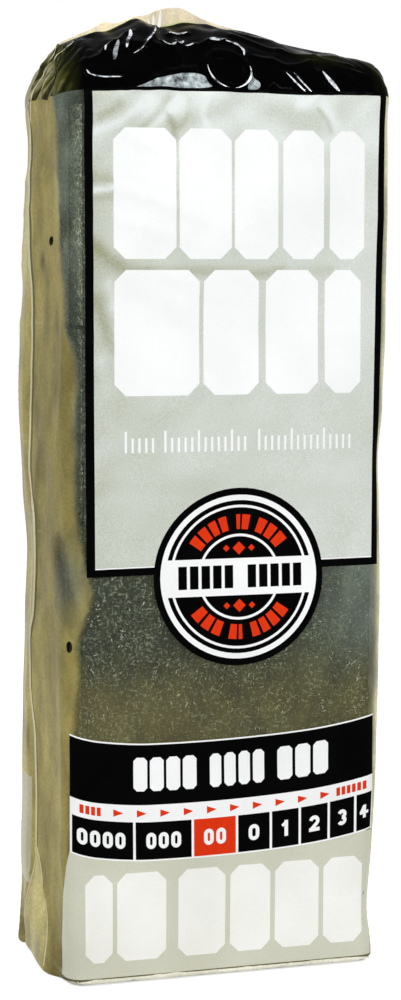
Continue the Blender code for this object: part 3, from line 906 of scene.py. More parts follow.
def film_outlines():
    """Areas of the film in its own coordinates, with their materials. Later ones win."""
    left = [(-u, h) for u, h in BLACK_EDGE]
    right = [(u * RIGHT_ROUND / LEFT_ROUND, h) for u, h in BLACK_EDGE[1:]]
    top = left[::-1] + right + [(RIGHT_ROUND, RIDGE), (-LEFT_ROUND, RIDGE)]
    areas = [("ink_top", subdivided(top))]
    # A painted highlight along the ridge's fold, between the black and the clear seal.
    line = rectangle(-LEFT_ROUND, RIDGE - SEAL_HIGHLIGHT_HALF_WIDTH, RIGHT_ROUND, RIDGE + SEAL_HIGHLIGHT_HALF_WIDTH)
    areas.append(("painted_seal_highlight", subdivided(line)))
    other_edge = RIGHT_ROUND - LEFT_ROUND + REAR_FIELD_EDGE
    for start, end in ((-LEFT_ROUND, -REAR_FIELD_EDGE), (other_edge, RIGHT_ROUND)):
        rear = rectangle(start, REAR_FIELD_FOOT, end, REAR_FIELD_TOP)
        areas.append(("ink_sand", subdivided(rear)))
    # Painted reflections on the faces between the folds.
    for outline in SHEENS:
        sheen = [(u * MM, h * MM) for u, h in rounded(outline + outline[:1])[:-1]]
        areas.append(("painted_sheen", sheen))
    # Painted highlights along the folds that have a width for them: pale ones on the left side, grey-white ones on
    # the black top.
    for _, _, width, path in FOLDS:
        if width:
            colour = "painted_crease_highlight" if path[0][0] * MM < -FRONT_LEFT - CORNER else "painted_highlight"
            areas.append((colour, painted_streak(rounded(path), width)))
    # Painted highlights across the clear seal.
    for path, width in FIN_HIGHLIGHTS:
        areas.append(("painted_fin_highlight", painted_streak(rounded(path), width)))
    # Painted highlights on the rim of the dimple.
    for start, end in DIMPLE_HIGHLIGHT_ARCS:
        path = arc(DIMPLE[0] / MM, DIMPLE[1] / MM, DIMPLE_RADIUS / MM, start, end, 16)
        areas.append(("painted_highlight", painted_streak(path, DIMPLE_HIGHLIGHT_WIDTH)))
    areas += crease_highlight_and_shade_areas()
    for colour, outline in printed:
        areas.append((colour, [(across(s, z), z) for s, z in subdivided(outline)]))
    # Painted shadow of the fold just above the base seal's lip.
    fold = rectangle(-FRONT_LEFT - CORNER, 1.9 * MM, FRONT_RIGHT + CORNER, 2.7 * MM)
    areas.append(("painted_crease_shade", subdivided(fold)))
    for u, h, wide, high in VENTS:
        areas.append(("vent", [(u + wide * a, h + high * b) for a, b in disc(0.0, 0.0, 1.0, 20)]))
    return areas


def grid_points(low, high, pitch):
    """Staggered points that fill the film between two heights."""
    rows = max(1, round((high - low) / (pitch * math.sin(math.radians(60)))))
    points = []
    for row in range(rows):
        h = mix(low, high, (row + 0.5) / rows)
        columns = round((LEFT_ROUND + RIGHT_ROUND) / pitch)
        start = 0.5 if row % 2 else 1.0
        for column in range(columns):
            share = (column + start) / columns
            if share < 1.0:
                points.append((mix(-LEFT_ROUND, RIGHT_ROUND, share), h))
    return points


def film_border():
    """Points round the edge of the flat film: both ends of the tube have the same heights."""
    points = []
    steps = round((FILM_TOP - FILM_FOOT) / BODY_PITCH)
    for i in range(steps + 1):
        h = mix(FILM_FOOT, FILM_TOP, i / steps)
        points += [(-LEFT_ROUND, h), (RIGHT_ROUND, h)]
    steps = round((LEFT_ROUND + RIGHT_ROUND) / BODY_PITCH)
    for i in range(1, steps):
        u = mix(-LEFT_ROUND, RIGHT_ROUND, i / steps)
        points += [(u, FILM_FOOT), (u, FILM_TOP)]
    return points


def crease_lines():
    """Lines of the film that mesh edges have to follow: gusset creases and legs, and the ridge."""
    lines = []
    for side, flat in ((-1.0, FRONT_LEFT), (1.0, FRONT_RIGHT)):
        start = flat + CORNER
        steps = round((SHOULDER_HEIGHT - GUSSET_APEX) / OUTLINE_PITCH)
        upright = []
        for i in range(steps + 1):
            z = mix(GUSSET_APEX, SHOULDER_HEIGHT, i / steps)
            upright.append((side * (start + SIDE * (1.0 + crease_share(z)) / 2), z))
        lines.append(upright)
        for edge in (0.0, SIDE):
            apex = abs(upright[0][0])
            foot = mix(apex, start + edge, GUSSET_SPREAD)
            lines.append([
                (side * mix(apex, foot, i / 36), mix(GUSSET_APEX, BASE_RADIUS, i / 36)) for i in range(37)
            ])
    steps = round((LEFT_ROUND + RIGHT_ROUND) / ROOF_PITCH)
    lines.append([(mix(-LEFT_ROUND, RIGHT_ROUND, i / steps), RIDGE) for i in range(steps + 1)])
    return lines


def triangulated_film():
    """Points, triangles and material names of the flat film."""
    areas = film_outlines()
    points = film_border()
    edges = []
    for line in crease_lines():
        first = len(points)
        points += line
        edges += [(first + i, first + i + 1) for i in range(len(line) - 1)]
    outlines = []
    for _, outline in areas:
        outlines.append(list(range(len(points), len(points) + len(outline))))
        points += counter_clockwise(outline)

    tree = kdtree.KDTree(len(points))
    for index, (u, h) in enumerate(points):
        tree.insert((u, h, 0.0), index)
    tree.balance()
    bands = (
        (FILM_FOOT, BASE_EDGE, BASE_PITCH),
        (BASE_EDGE, 285 * MM, BODY_PITCH),
        (285 * MM, FILM_TOP, ROOF_PITCH),
    )
    for low, high, pitch in bands:
        for u, h in grid_points(low, high, pitch):
            if tree.find((u, h, 0.0))[2] > 0.6 * pitch:
                points.append((u, h))

    scale = 1.0 / MM
    flat = [Vector((u * scale, h * scale)) for u, h in points]
    made = delaunay_2d_cdt(flat, edges, outlines, 0, 1e-4, True)
    names = []
    for origins in made[5]:
        names.append(areas[max(origins)][0] if origins else "film_clear")
    return [(v.x * MM, v.y * MM) for v in made[0]], made[2], names


def make_material(name):
    """A new node material, its shader and a helper that adds nodes to it."""
    material = bpy.data.materials.new(name)
    material.use_nodes = True
    tree = material.node_tree
    shader = tree.nodes["Principled BSDF"]

    def add(kind, **values):
        node = tree.nodes.new(kind)
        for key, value in values.items():
            if hasattr(node, key):
                setattr(node, key, value)
            else:
                node.inputs[key.replace("_", " ")].default_value = value
        return node

    return material, tree, shader, add


def textured(tree, add, scale, detail=3.0, stretch=(1.0, 1.0, 1.0)):
    """Noise in the object's own coordinates, in features per metre."""
    place = add("ShaderNodeTexCoord")
    mapping = add("ShaderNodeMapping")
    mapping.inputs["Scale"].default_value = stretch
    texture = add("ShaderNodeTexNoise", Scale=scale, Detail=detail)
    tree.links.new(place.outputs["Object"], mapping.inputs["Vector"])
    tree.links.new(mapping.outputs["Vector"], texture.inputs["Vector"])
    return texture


def ramp(tree, add, source, stops):
    """Colours along a value."""
    node = add("ShaderNodeValToRGB")
    elements = node.color_ramp.elements
    while len(elements) < len(stops):
        elements.new(0.5)
    for element, (place, colour) in zip(elements, stops):
        element.position = place
        element.color = (*colour, 1.0)
    tree.links.new(source, node.inputs["Fac"])
    return node


def add_bump(tree, add, shader, height, strength, distance):
    bump = add("ShaderNodeBump", Strength=strength, Distance=distance)
    tree.links.new(height, bump.inputs["Height"])
    tree.links.new(bump.outputs["Normal"], shader.inputs["Normal"])


def add_share(tree, add, value, weight, onto):
    """A value times a weight, added onto a socket or a plain number."""
    total = add("ShaderNodeMath", operation="MULTIPLY_ADD")
    tree.links.new(value, total.inputs[0])
    total.inputs[1].default_value = weight
    if isinstance(onto, float):
        total.inputs[2].default_value = onto
    else:
        tree.links.new(onto, total.inputs[2])
    return total.outputs["Value"]


def ink_material(name, dark, light, roughness, specular, grain=900.0, patchy=1.0, milk_and_shade_weight=0.0):
    """Printed ink: its colour varies softly over the pack and speckles finely; by the milk_and_shade attribute it
    turns lighter where its film lies off the wool and takes painted light and shade along wrinkles.
    """
    material, tree, shader, add = make_material(name)
    broad = textured(tree, add, 24.0, 4.0)
    speckle = textured(tree, add, grain, 2.0)
    shade = add_share(tree, add, broad.outputs["Fac"], patchy, 0.5 * (1.0 - patchy))
    shade = add_share(tree, add, speckle.outputs["Fac"], 0.45, shade)
    if milk_and_shade_weight:
        milk_and_shade = add("ShaderNodeAttribute", attribute_name="milk_and_shade")
        shade = add_share(tree, add, milk_and_shade.outputs["Fac"], milk_and_shade_weight, shade)
    colours = ramp(tree, add, shade, ((0.25, dark), (1.15, light)))
    tree.links.new(colours.outputs["Color"], shader.inputs["Base Color"])
    shader.inputs["Roughness"].default_value = roughness
    shader.inputs["Specular IOR Level"].default_value = specular
    film = textured(tree, add, 260.0, 3.0)
    add_bump(tree, add, shader, film.outputs["Fac"], 0.08, 0.3 * MM)
    return material


def black_ink():
    """Black ink on the label and in the bands, flat on the film."""
    material, tree, shader, add = make_material("ink_black")
    shade = textured(tree, add, 60.0, 3.0)
    colours = ramp(tree, add, shade.outputs["Fac"], ((0.3, (0.0006, 0.0006, 0.0008)), (0.8, (0.002, 0.002, 0.002))))
    tree.links.new(colours.outputs["Color"], shader.inputs["Base Color"])
    shader.inputs["Roughness"].default_value = 0.3
    shader.inputs["Specular IOR Level"].default_value = 0.01
    film = textured(tree, add, 320.0, 4.0)
    add_bump(tree, add, shader, film.outputs["Fac"], 0.08, 0.3 * MM)
    return material


def top_ink():
    """Black under gloss film in the crumpled top. A wash of olive shows on its gathered sides."""
    material, tree, shader, add = make_material("ink_top")
    wash = add("ShaderNodeAttribute", attribute_name="wash")
    blots = textured(tree, add, 160.0, 4.0)
    share = add("ShaderNodeMath", operation="MULTIPLY")
    tree.links.new(wash.outputs["Fac"], share.inputs[0])
    tree.links.new(blots.outputs["Fac"], share.inputs[1])
    stops = (
        (0.0, (0.001, 0.001, 0.0012)),
        (0.12, (0.012, 0.013, 0.003)),
        (0.28, (0.065, 0.066, 0.018)),
        (0.50, (0.20, 0.19, 0.085)),
        (0.80, (0.40, 0.37, 0.24)),
    )
    colours = ramp(tree, add, share.outputs["Value"], stops)
    tree.links.new(colours.outputs["Color"], shader.inputs["Base Color"])
    shader.inputs["Roughness"].default_value = 0.10
    shader.inputs["Specular IOR Level"].default_value = 0.003
    film = textured(tree, add, 130.0, 2.0)
    add_bump(tree, add, shader, film.outputs["Fac"], 0.35, 1.0 * MM)
    return material


def painted_highlight_ink(name, dull, bright, low, high, roughness=0.2):
    """Painted highlight: a light streak or patch painted where the film would catch the light, a little metallic
    and glossier than the film round it.
    """
    material, tree, shader, add = make_material(name)
    breaks = textured(tree, add, 420.0, 3.0)
    colours = ramp(tree, add, breaks.outputs["Fac"], ((low, dull), (high, bright)))
    tree.links.new(colours.outputs["Color"], shader.inputs["Base Color"])
    shader.inputs["Metallic"].default_value = 0.3
    shader.inputs["Roughness"].default_value = roughness
    shader.inputs["Specular IOR Level"].default_value = 0.3
    return material


def clear_film():
    """Clear film that turns hazy where it lies off the wool, by the haze and tint attributes."""
    material, tree, shader, add = make_material("film_clear")
    tint = add("ShaderNodeAttribute", attribute_name="tint")
    cloud = textured(tree, add, 130.0, 6.0, (1.0, 0.6, 0.4))
    shade = add("ShaderNodeMix", data_type="RGBA", blend_type="MULTIPLY")
    shade.inputs["Factor"].default_value = 0.8
    clouds = ramp(tree, add, cloud.outputs["Fac"], ((0.32, (0.62, 0.62, 0.66)), (0.68, (1.28, 1.28, 1.22))))
    tree.links.new(tint.outputs["Color"], shade.inputs["A"])
    tree.links.new(clouds.outputs["Color"], shade.inputs["B"])
    speckle = textured(tree, add, 1100.0, 2.0, (1.0, 0.4, 1.0))
    grain = ramp(tree, add, speckle.outputs["Fac"], ((0.3, (0.88, 0.88, 0.90)), (0.7, (1.12, 1.12, 1.08))))
    grainy = add("ShaderNodeMix", data_type="RGBA", blend_type="MULTIPLY")
    grainy.inputs["Factor"].default_value = 1.0
    tree.links.new(shade.outputs["Result"], grainy.inputs["A"])
    tree.links.new(grain.outputs["Color"], grainy.inputs["B"])
    tree.links.new(grainy.outputs["Result"], shader.inputs["Base Color"])
    shader.inputs["Roughness"].default_value = 0.2
    shader.inputs["Specular IOR Level"].default_value = 0.006
    film = textured(tree, add, 300.0, 4.0)
    add_bump(tree, add, shader, film.outputs["Fac"], 0.2, 0.4 * MM)

    haze = add("ShaderNodeAttribute", attribute_name="haze")
    mist = add("ShaderNodeMath", operation="MULTIPLY_ADD", use_clamp=True)
    patches = textured(tree, add, 120.0, 5.0, (1.0, 0.5, 1.0))
    tree.links.new(patches.outputs["Fac"], mist.inputs[0])
    mist.inputs[1].default_value = 0.24
    tree.links.new(haze.outputs["Fac"], mist.inputs[2])
    see_through = add("ShaderNodeBsdfTransparent")
    see_through.inputs["Color"].default_value = (0.97, 0.97, 0.94, 1.0)
    mixer = add("ShaderNodeMixShader")
    tree.links.new(mist.outputs["Value"], mixer.inputs["Fac"])
    tree.links.new(see_through.outputs["BSDF"], mixer.inputs[1])
    tree.links.new(shader.outputs["BSDF"], mixer.inputs[2])
    output = tree.nodes["Material Output"]
    tree.links.new(mixer.outputs["Shader"], output.inputs["Surface"])
    return material


OLIVE = Vector((0.345, 0.29, 0.10))
SAND = Vector((0.58, 0.51, 0.235))
PEARL = Vector((0.76, 0.73, 0.50))
BEIGE = Vector((1.0, 0.86, 0.61))
MOSS = Vector((0.15, 0.165, 0.085))
SLATE = Vector((0.25, 0.30, 0.245))

# How far round the left corner the film lies clear on the wool, at heights up it.
CLEAR_REACH = (
    (2 * MM, 12.0 * MM),
    (15 * MM, 12.0 * MM),
    (30 * MM, 9.0 * MM),
    (43 * MM, 6.0 * MM),
    (84 * MM, 4.8 * MM),
    (96 * MM, 3.6 * MM),
    (118 * MM, 1.8 * MM),
    (135 * MM, -2.4 * MM),
    (149 * MM, 0.6 * MM),
    (166 * MM, 2.7 * MM),
    (198 * MM, 3.3 * MM),
    (217 * MM, 2.2 * MM),
    (228 * MM, 5.4 * MM),
    (240 * MM, 7.0 * MM),
    (271 * MM, 11.0 * MM),
    (298 * MM, 13.0 * MM),
)
RIGHT_REACH = 2.6 * MM
# How light the haze of the left side is, at heights up it.
SIDE_TONES = (
    (0 * MM, 1.0),
    (60 * MM, 1.12),
    (130 * MM, 1.0),
    (200 * MM, 0.87),
    (270 * MM, 1.09),
    (300 * MM, 1.09),
)
# Dark hollows in the haze beside the label's lower corner: place round and up the film, half width and
# half height, and how much haze they take off.
HOLLOWS = (
    (-66.0 * MM, 149.0 * MM, 6.5 * MM, 8.0 * MM, 0.60),
    (-59.0 * MM, 138.0 * MM, 4.5 * MM, 8.0 * MM, 0.40),
)
# Hazy folds of the left side: how much haze each adds, its width, and its places in millimetres.
HAZE_FOLDS = (
    (0.55, 1.5, ((-84, 150), (-79, 156), (-67, 160), (-59, 157), (-55.5, 151), (-53, 145), (-50.5, 137))),
    (0.40, 1.0, ((-57.5, 155), (-57, 147), (-55.5, 139), (-52, 132))),
    (0.20, 2.0, ((-94, 140), (-86, 129), (-76, 120), (-66, 112))),
    (0.20, 2.0, ((-88, 144), (-78, 132), (-68, 126), (-60, 122))),
    (0.30, 1.3, ((-68, 262), (-66, 246), (-62, 234), (-58.5, 222))),
    (0.25, 1.6, ((-62, 232), (-60, 220), (-57, 206), (-55.5, 194))),
)


# Places where the haze of the left side has another, darker tint: place, half width and half height, the
# share of that tint, and the tint. The second and third are painted shade in a dent and a hollow of the film.
TINT_AND_SHADE_PATCHES = (
    (-62.0 * MM, 141.0 * MM, 10.0 * MM, 12.0 * MM, 0.8, 0.7 * SLATE),
    (-86.0 * MM, 250.0 * MM, 3.8 * MM, 3.4 * MM, 0.9, 0.35 * OLIVE),
    (-109.0 * MM, 79.0 * MM, 3.0 * MM, 6.0 * MM, 0.7, 0.4 * OLIVE),
)


def haze_folds(u, h):
    """How much haze the folds of the left side add."""
    u /= MM
    h /= MM
    total = 0.0
    for more, width, path in HAZE_FOLDS:
        if abs(u - path[0][0]) < 40.0 and abs(h - path[0][1]) < 45.0:
            away = min(off_segment(u, h, a, b) for a, b in zip(path, path[1:]))
            total += more * math.exp(-(away / width) ** 2)
    return total


def back_haze(point, drift, lower):
    """Haze and tint of the back: thin, with a few crinkles."""
    x, y, z = point
    crinkle = ridged(Vector((x * 26.0 + z * 14.0, 3.0, z * 12.0 - x * 8.0))) ** 4
    haze = 0.12 + 0.10 * lower + 0.16 * max(drift, 0.0) + 0.20 * crinkle
    return haze, MOSS.lerp(OLIVE, 0.5 + 0.4 * crinkle)


def right_haze(turned, point, drift, blots, lower):
    """Haze and tint of the front's right part and the right side."""
    off = between(turned + MM * blots, RIGHT_REACH - 2.0 * MM, RIGHT_REACH + 3.0 * MM)
    slate = between(point.x, 15 * MM, 50 * MM) * (1.0 - lower)
    haze = mix(0.17 * lower + 0.05 * max(drift, 0.0) + 0.34 * slate, 0.82, off)
    pale = OLIVE.lerp(PEARL, between(turned, 1 * MM, 5 * MM))
    pale = pale.lerp(OLIVE.lerp(SAND, 0.35 + 0.3 * drift), between(turned, CORNER, CORNER + 14 * MM))
    return haze, MOSS.lerp(SLATE, slate).lerp(pale, max(off, 0.6 * lower * (1.0 - slate)))


def side_tint(u, turned, point, drift):
    """Tint of the left side where the film stands off the wool: olive, paler behind and in the gusset, with painted
    shade low in front of the gusset.
    """
    z = point.z
    behind = between(point.y, crease_share(z) * (HALF_DEPTH - CORNER_RADIUS), 24 * MM)
    sandy = min(0.6 * behind + 0.25 * max(drift, 0.0), 1.0)
    tone = along(SIDE_TONES, z) * mix(0.82, 1.0, between(turned, 2 * MM, 16 * MM))
    if z < GUSSET_APEX and turned > CORNER:
        past = past_crease(station(u)[1], z)
        inside = leg_share(z, past > 0.0) - abs(past)
        sandy = max(sandy, between(inside, -0.02, 0.04))
        # Painted shade low on the side, in front of the gusset's leg.
        tone *= 1.0 - 0.35 * between(-inside, 0.02, 0.12) * (1.0 - between(z, 4 * MM, 20 * MM))
    tint = OLIVE.lerp(SAND, sandy) * tone
    # Darker patches, two of them painted shade in a dent and a hollow.
    for left, up, wide, high, share, colour in TINT_AND_SHADE_PATCHES:
        tint = tint.lerp(colour, share * math.exp(-((u - left) / wide) ** 2 - ((z - up) / high) ** 2))
    return tint


def left_haze(u, h, turned, point, drift, blots, lower):
    """Haze and tint of the front's left part and the left side."""
    z = point.z
    reach = along(CLEAR_REACH, z)
    soft = mix(0.4, 1.0, between(reach, 4 * MM, 14 * MM))
    wander = 2.5 * MM * noise.noise(Vector((1.0, 7.0, z * 60.0))) + 1.5 * MM * drift + 2.0 * MM * blots
    off = between(turned + soft * wander, reach - 3.0 * MM * soft, reach + 3.6 * MM * soft)
    slate = between(turned, -2 * MM, 3 * MM) * between(z, 150 * MM, 200 * MM)
    hollow = sum(
        less * math.exp(-((u - left) / wide) ** 2 - ((z - up) / high) ** 2)
        for left, up, wide, high, less in HOLLOWS
    )
    behind = between(turned, CORNER + 0.6 * SIDE, CORNER + 0.9 * SIDE)
    veil = slate * mix(0.13, 0.26, between(turned, 3 * MM, 7 * MM))
    veil *= mix(0.35, 1.0, between(z, 228 * MM, 265 * MM)) * max(1.0 + 1.6 * blots, 0.0)
    on_wool = 0.17 * lower + 0.05 * max(drift, 0.0) + veil
    folds = haze_folds(u, h)
    haze = mix(on_wool, 0.83 + 0.10 * behind - hollow, off) + folds
    near = MOSS.lerp(SLATE, slate)
    return haze, near.lerp(side_tint(u, turned, point, drift), max(off, folds, 0.8 * lower))


def film_haze(u, h, point):
    """Haze and tint of the clear film: clear where it touches wool, olive where it stands off."""
    if h > RIDGE - 2 * MM:
        return 0.58, BEIGE
    x, y, z = point
    drift = noise.noise(point * 26.0)
    lower = 1.0 - between(z, 95 * MM, 125 * MM)
    turned = abs(u) - (FRONT_LEFT if u < 0.0 else FRONT_RIGHT)
    back = back_haze(point, drift, lower)
    rear = between(turned, CORNER + SIDE + 2 * MM, 2 * CORNER + SIDE)
    if rear == 1.0:
        return back
    blots = noise.noise(Vector((x * 90.0, y * 60.0, z * 90.0)))
    if u > 0.0:
        haze, tint = right_haze(turned, point, drift, blots, lower)
    else:
        haze, tint = left_haze(u, h, turned, point, drift, blots, lower)
    return mix(haze, back[0], rear), tint.lerp(back[1], rear)


def black_wash(u, h):
    """How much olive shows in the black top: on the gathered sides, most of it at the back."""
    turned = abs(u) - (FRONT_LEFT if u < 0.0 else FRONT_RIGHT)
    side = 0.55 * between(turned, -1 * MM, 10 * MM) + 0.50 * between(turned, 8 * MM, 34 * MM)
    side *= 1.0 - between(turned, CORNER + SIDE, 2 * CORNER + SIDE)
    puff = math.exp(-((u - 40 * MM) / (9 * MM)) ** 2 - ((h - 331 * MM) / (6 * MM)) ** 2)
    streaks = 0.34 + 1.1 * fan(u, h) ** 2
    return side * (streaks + 1.7 * between(turned, 44 * MM, CORNER + SIDE)) + 0.3 * puff


# Painted light and shade along wrinkles of the label: how much lighter or darker each is, its width, and its places
# in millimetres.
LABEL_WRINKLE_SHADES = (
    (0.5, 1.6, ((-48.6, 293.4), (-39.1, 296.9), (-33.0, 301.5), (-29.4, 305.0))),
    (-0.45, 1.4, ((-35.5, 291.0), (-26.8, 299.0), (-22.1, 305.0))),
    (0.4, 1.4, ((-32.0, 292.0), (-24.6, 298.3), (-18.5, 304.6))),
    (-0.4, 1.6, ((-46.4, 298.0), (-39.1, 302.6))),
    (-0.6, 1.5, ((-22.9, 299.4), (-20.7, 295.9), (-20.0, 291.4))),
    (-0.35, 1.3, ((-14.9, 304.3), (-15.6, 299.4), (-18.1, 295.2))),
    (0.4, 1.3, ((-8.8, 305.0), (-10.4, 299.6), (-8.4, 295.2))),
    (0.45, 2.2, ((25.6, 303.6), (33.5, 304.6), (38.2, 297.3))),
    (-0.4, 0.9, ((32.1, 302.2), (35.7, 298.0), (36.5, 294.5))),
    (0.8, 1.2, ((-49.2, 273.5), (-44.9, 274.2), (-41.7, 274.9))),
    (-0.4, 2.4, ((-48.5, 278.4), (-42.4, 277.0))),
    (-0.3, 1.5, ((-49.0, 271.0), (-41.0, 272.0))),
    (-0.55, 2.4, ((-48.9, 256.0), (-43.8, 251.1), (-37.7, 247.3), (-29.4, 245.5))),
    (-0.5, 2.0, ((-29.4, 245.5), (-14.9, 246.9), (6.8, 245.5), (17.6, 246.2))),
    (-0.25, 2.0, ((17.6, 246.2), (36.0, 247.0))),
    (0.55, 2.4, ((-43.1, 242.0), (-40.9, 234.4))),
    (-0.45, 2.2, ((-48.5, 237.2), (-45.3, 229.5), (-42.0, 220.4))),
    (0.3, 3.0, ((-47.0, 216.0), (-44.0, 206.0))),
)


def label_milk_and_shade(u, h):
    """How much lighter or darker the label looks: lighter where its film lies off the wool, with painted light and
    shade along its wrinkles, lighter towards the top and the right and darker at the left.
    """
    high = between(h, 255 * MM, 300 * MM)
    left = between(-u, 34 * MM, 48 * MM)
    bent = Vector((u * 26.0 + h * 14.0, 1.0, h * 46.0 - u * 24.0))
    bent += 0.6 * noise.noise_vector(bent * 1.3)
    total = noise.noise(bent * 1.5) * (0.14 + 0.50 * high + 0.2 * left)
    total += 0.22 * high - 0.14 * left + 0.13 * u / FRONT_RIGHT
    u /= MM
    h /= MM
    for more, width, path in LABEL_WRINKLE_SHADES:
        if abs(u - path[0][0]) < 55.0 and abs(h - path[0][1]) < 25.0:
            away = min(off_segment(u, h, a, b) for a, b in zip(path, path[1:]))
            total += more * math.exp(-(away / width) ** 2)
    return total


def write_attribute(mesh, name, kind, values):
    layer = mesh.attributes.new(name, kind, "POINT")
    field = "color" if kind == "FLOAT_COLOR" else "value"
    layer.data.foreach_set(field, np.array(values, np.float32).ravel())


def build_film():
    """The printed film bag as one skin, cut along every edge of the print."""
    print_front()
    flat, triangles, names = triangulated_film()
    materials = {
        "film_clear": clear_film(),
        "ink_black": black_ink(),
        "ink_top": top_ink(),
        "painted_highlight": painted_highlight_ink("painted_highlight", (0.02, 0.022, 0.026), (0.78, 0.81, 0.84), 0.36, 0.52),
        "painted_sheen": painted_highlight_ink("painted_sheen", (0.02, 0.024, 0.026), (0.42, 0.48, 0.49), 0.30, 0.62, 0.45),
        "painted_fin_highlight": ink_material("painted_fin_highlight", (0.78, 0.76, 0.68), (1.0, 1.0, 0.98), 0.3, 0.1),
        "painted_seal_highlight": ink_material("painted_seal_highlight", (0.27, 0.28, 0.10), (0.68, 0.70, 0.38), 0.3, 0.1),
        # Painted highlights and painted shade of the creases.
        "painted_crease_highlight": ink_material("painted_crease_highlight", (0.42, 0.38, 0.20), (0.82, 0.77, 0.54), 0.3, 0.05),
        "painted_crease_shade": ink_material("painted_crease_shade", (0.06, 0.06, 0.02), (0.20, 0.18, 0.085), 0.4, 0.01),
        "ink_grey": ink_material(
            "ink_grey", (0.30, 0.31, 0.175), (0.79, 0.835, 0.805), 0.34, 0.15, 2200.0, patchy=0.35, milk_and_shade_weight=0.5
        ),
        "ink_sand": ink_material("ink_sand", (0.28, 0.25, 0.12), (0.66, 0.61, 0.42), 0.34, 0.1),
        "ink_pale": ink_material("ink_pale", (0.46, 0.465, 0.345), (0.715, 0.715, 0.595), 0.36, 0.2, 2200.0, patchy=0.7),
        "ink_white": ink_material("ink_white", (0.80, 0.82, 0.80), (1.0, 1.0, 1.0), 0.34, 0.1, 2400.0),
        "ink_cream": ink_material("ink_cream", (0.77, 0.76, 0.69), (1.0, 1.0, 0.96), 0.34, 0.1, 2400.0),
        "ink_red": ink_material("ink_red", (0.60, 0.026, 0.003), (0.84, 0.044, 0.006), 0.3, 0.05),
    }
    order = list(materials)
    kept = [i for i, name in enumerate(names) if name != "vent"]
    points = []
    haze = []
    tint = []
    wash = []
    milk_and_shade = []
    for u, h in flat:
        form = film_form(u, h)
        normal = film_normal(u, h)
        point = form + normal * relief(u, h, form)
        points.append(point)
        amount, colour = film_haze(u, h, point)
        haze.append(amount)
        tint.append((*colour, 1.0))
        wash.append(black_wash(u, h) if h > 295 * MM else 0.0)
        milk_and_shade.append(label_milk_and_shade(u, h))

    mesh = bpy.data.meshes.new("printed_film_bag")
    mesh.from_pydata(points, [], [triangles[i] for i in kept])
    for name in order:
        mesh.materials.append(materials[name])
    slots = [order.index(names[i]) for i in kept]
    mesh.polygons.foreach_set("material_index", slots)
    write_attribute(mesh, "haze", "FLOAT", haze)
    write_attribute(mesh, "tint", "FLOAT_COLOR", tint)
    write_attribute(mesh, "wash", "FLOAT", wash)
    write_attribute(mesh, "milk_and_shade", "FLOAT", milk_and_shade)
    mesh.shade_smooth()
    bag = bpy.data.objects.new("printed_film_bag", mesh)
    bpy.context.scene.collection.objects.link(bag)
    weld(mesh)
    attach(bag, "root")
    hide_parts("film_bag")
    return bag


def weld(mesh):
    """Join the tube's two ends at the back."""
    work = bmesh.new()
    work.from_mesh(mesh)
    bmesh.ops.remove_doubles(work, verts=work.verts, dist=1e-6)
    work.to_mesh(mesh)
    work.free()


# The rippled lip of the base seal, along the front's foot.
LIP_RADIUS = 0.85 * MM
LIP_SIDES = 8
LIP_STEPS = 260


def build_seal_lip():
    """The curled edge of the base seal, a thin rippled roll of film."""
    first = side_wall(-1.0, 0.0)
    last = side_wall(1.0, 0.0)
    vertices = []
    faces = []
    for i in range(LIP_STEPS + 1):
        share = i / LIP_STEPS
        x = mix(-first + 3.0 * MM, last - 2.0 * MM, share)
        ripple = noise.noise(Vector((x * 70.0, 3.0, 1.0))) + 0.5 * noise.noise(Vector((x * 240.0, 8.0, 2.0)))
        ends = min(share, 1.0 - share) * 14.0
        radius = LIP_RADIUS * min(0.25 + ends, 1.0) * (1.0 + 0.3 * ripple)
        y = -HALF_DEPTH + 0.4 * MM - 0.3 * MM * ripple
        z = 1.5 * MM + 0.3 * MM * abs(ripple)
        for side in range(LIP_SIDES):
            turn = 2.0 * math.pi * side / LIP_SIDES
            vertices.append((x, y + 1.3 * radius * math.cos(turn), z + radius * math.sin(turn)))
    for i in range(LIP_STEPS):
        low = i * LIP_SIDES
        for side in range(LIP_SIDES):
            after = (side + 1) % LIP_SIDES
            faces.append((low + side, low + after, low + LIP_SIDES + after, low + LIP_SIDES + side))
    faces.append(tuple(reversed(range(LIP_SIDES))))
    faces.append(tuple(range(LIP_STEPS * LIP_SIDES, (LIP_STEPS + 1) * LIP_SIDES)))
    mesh = bpy.data.meshes.new("base_seal_lip")
    mesh.from_pydata(vertices, [], faces)
    mesh.materials.append(ink_material("seal_lip", (0.30, 0.29, 0.18), (1.0, 0.98, 0.84), 0.28, 0.2))
    mesh.shade_smooth()
    lip = bpy.data.objects.new("base_seal_lip", mesh)
    bpy.context.scene.collection.objects.link(lip)
    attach(lip, "root")


# Pads.
PLIES = 3
PLY_SLIT = 0.6 * MM
END_SLIT = 1.8 * MM
END_TAPER = 6.0 * MM
PLY_PITCH = (PAD_THICKNESS + PLY_SLIT) / PLIES
RUN_STEPS = 20
TURN_STEPS = 6
PAD_STATIONS = 30
PAD_RISE = 0.3 * MM
TOP_RISE = 3.2 * MM
WINDOW_TIER = 2
FIBRE_STEPS = 2
WINDOW_FIBRES = 34000
FRONT_FIBRES = 3200
BACK_FIBRES = 3200
CORNER_FIBRES = 7000
END_FIBRES = 400
END_FIBRE_STRETCH = 2.2
# How much brighter the fibres on the ends of each layer are painted, from the front to the back: painted light for
# the ends that the film keeps in shade.
END_PAINTED_LIGHT = (0.7, 0.95, 0.7, 0.7)


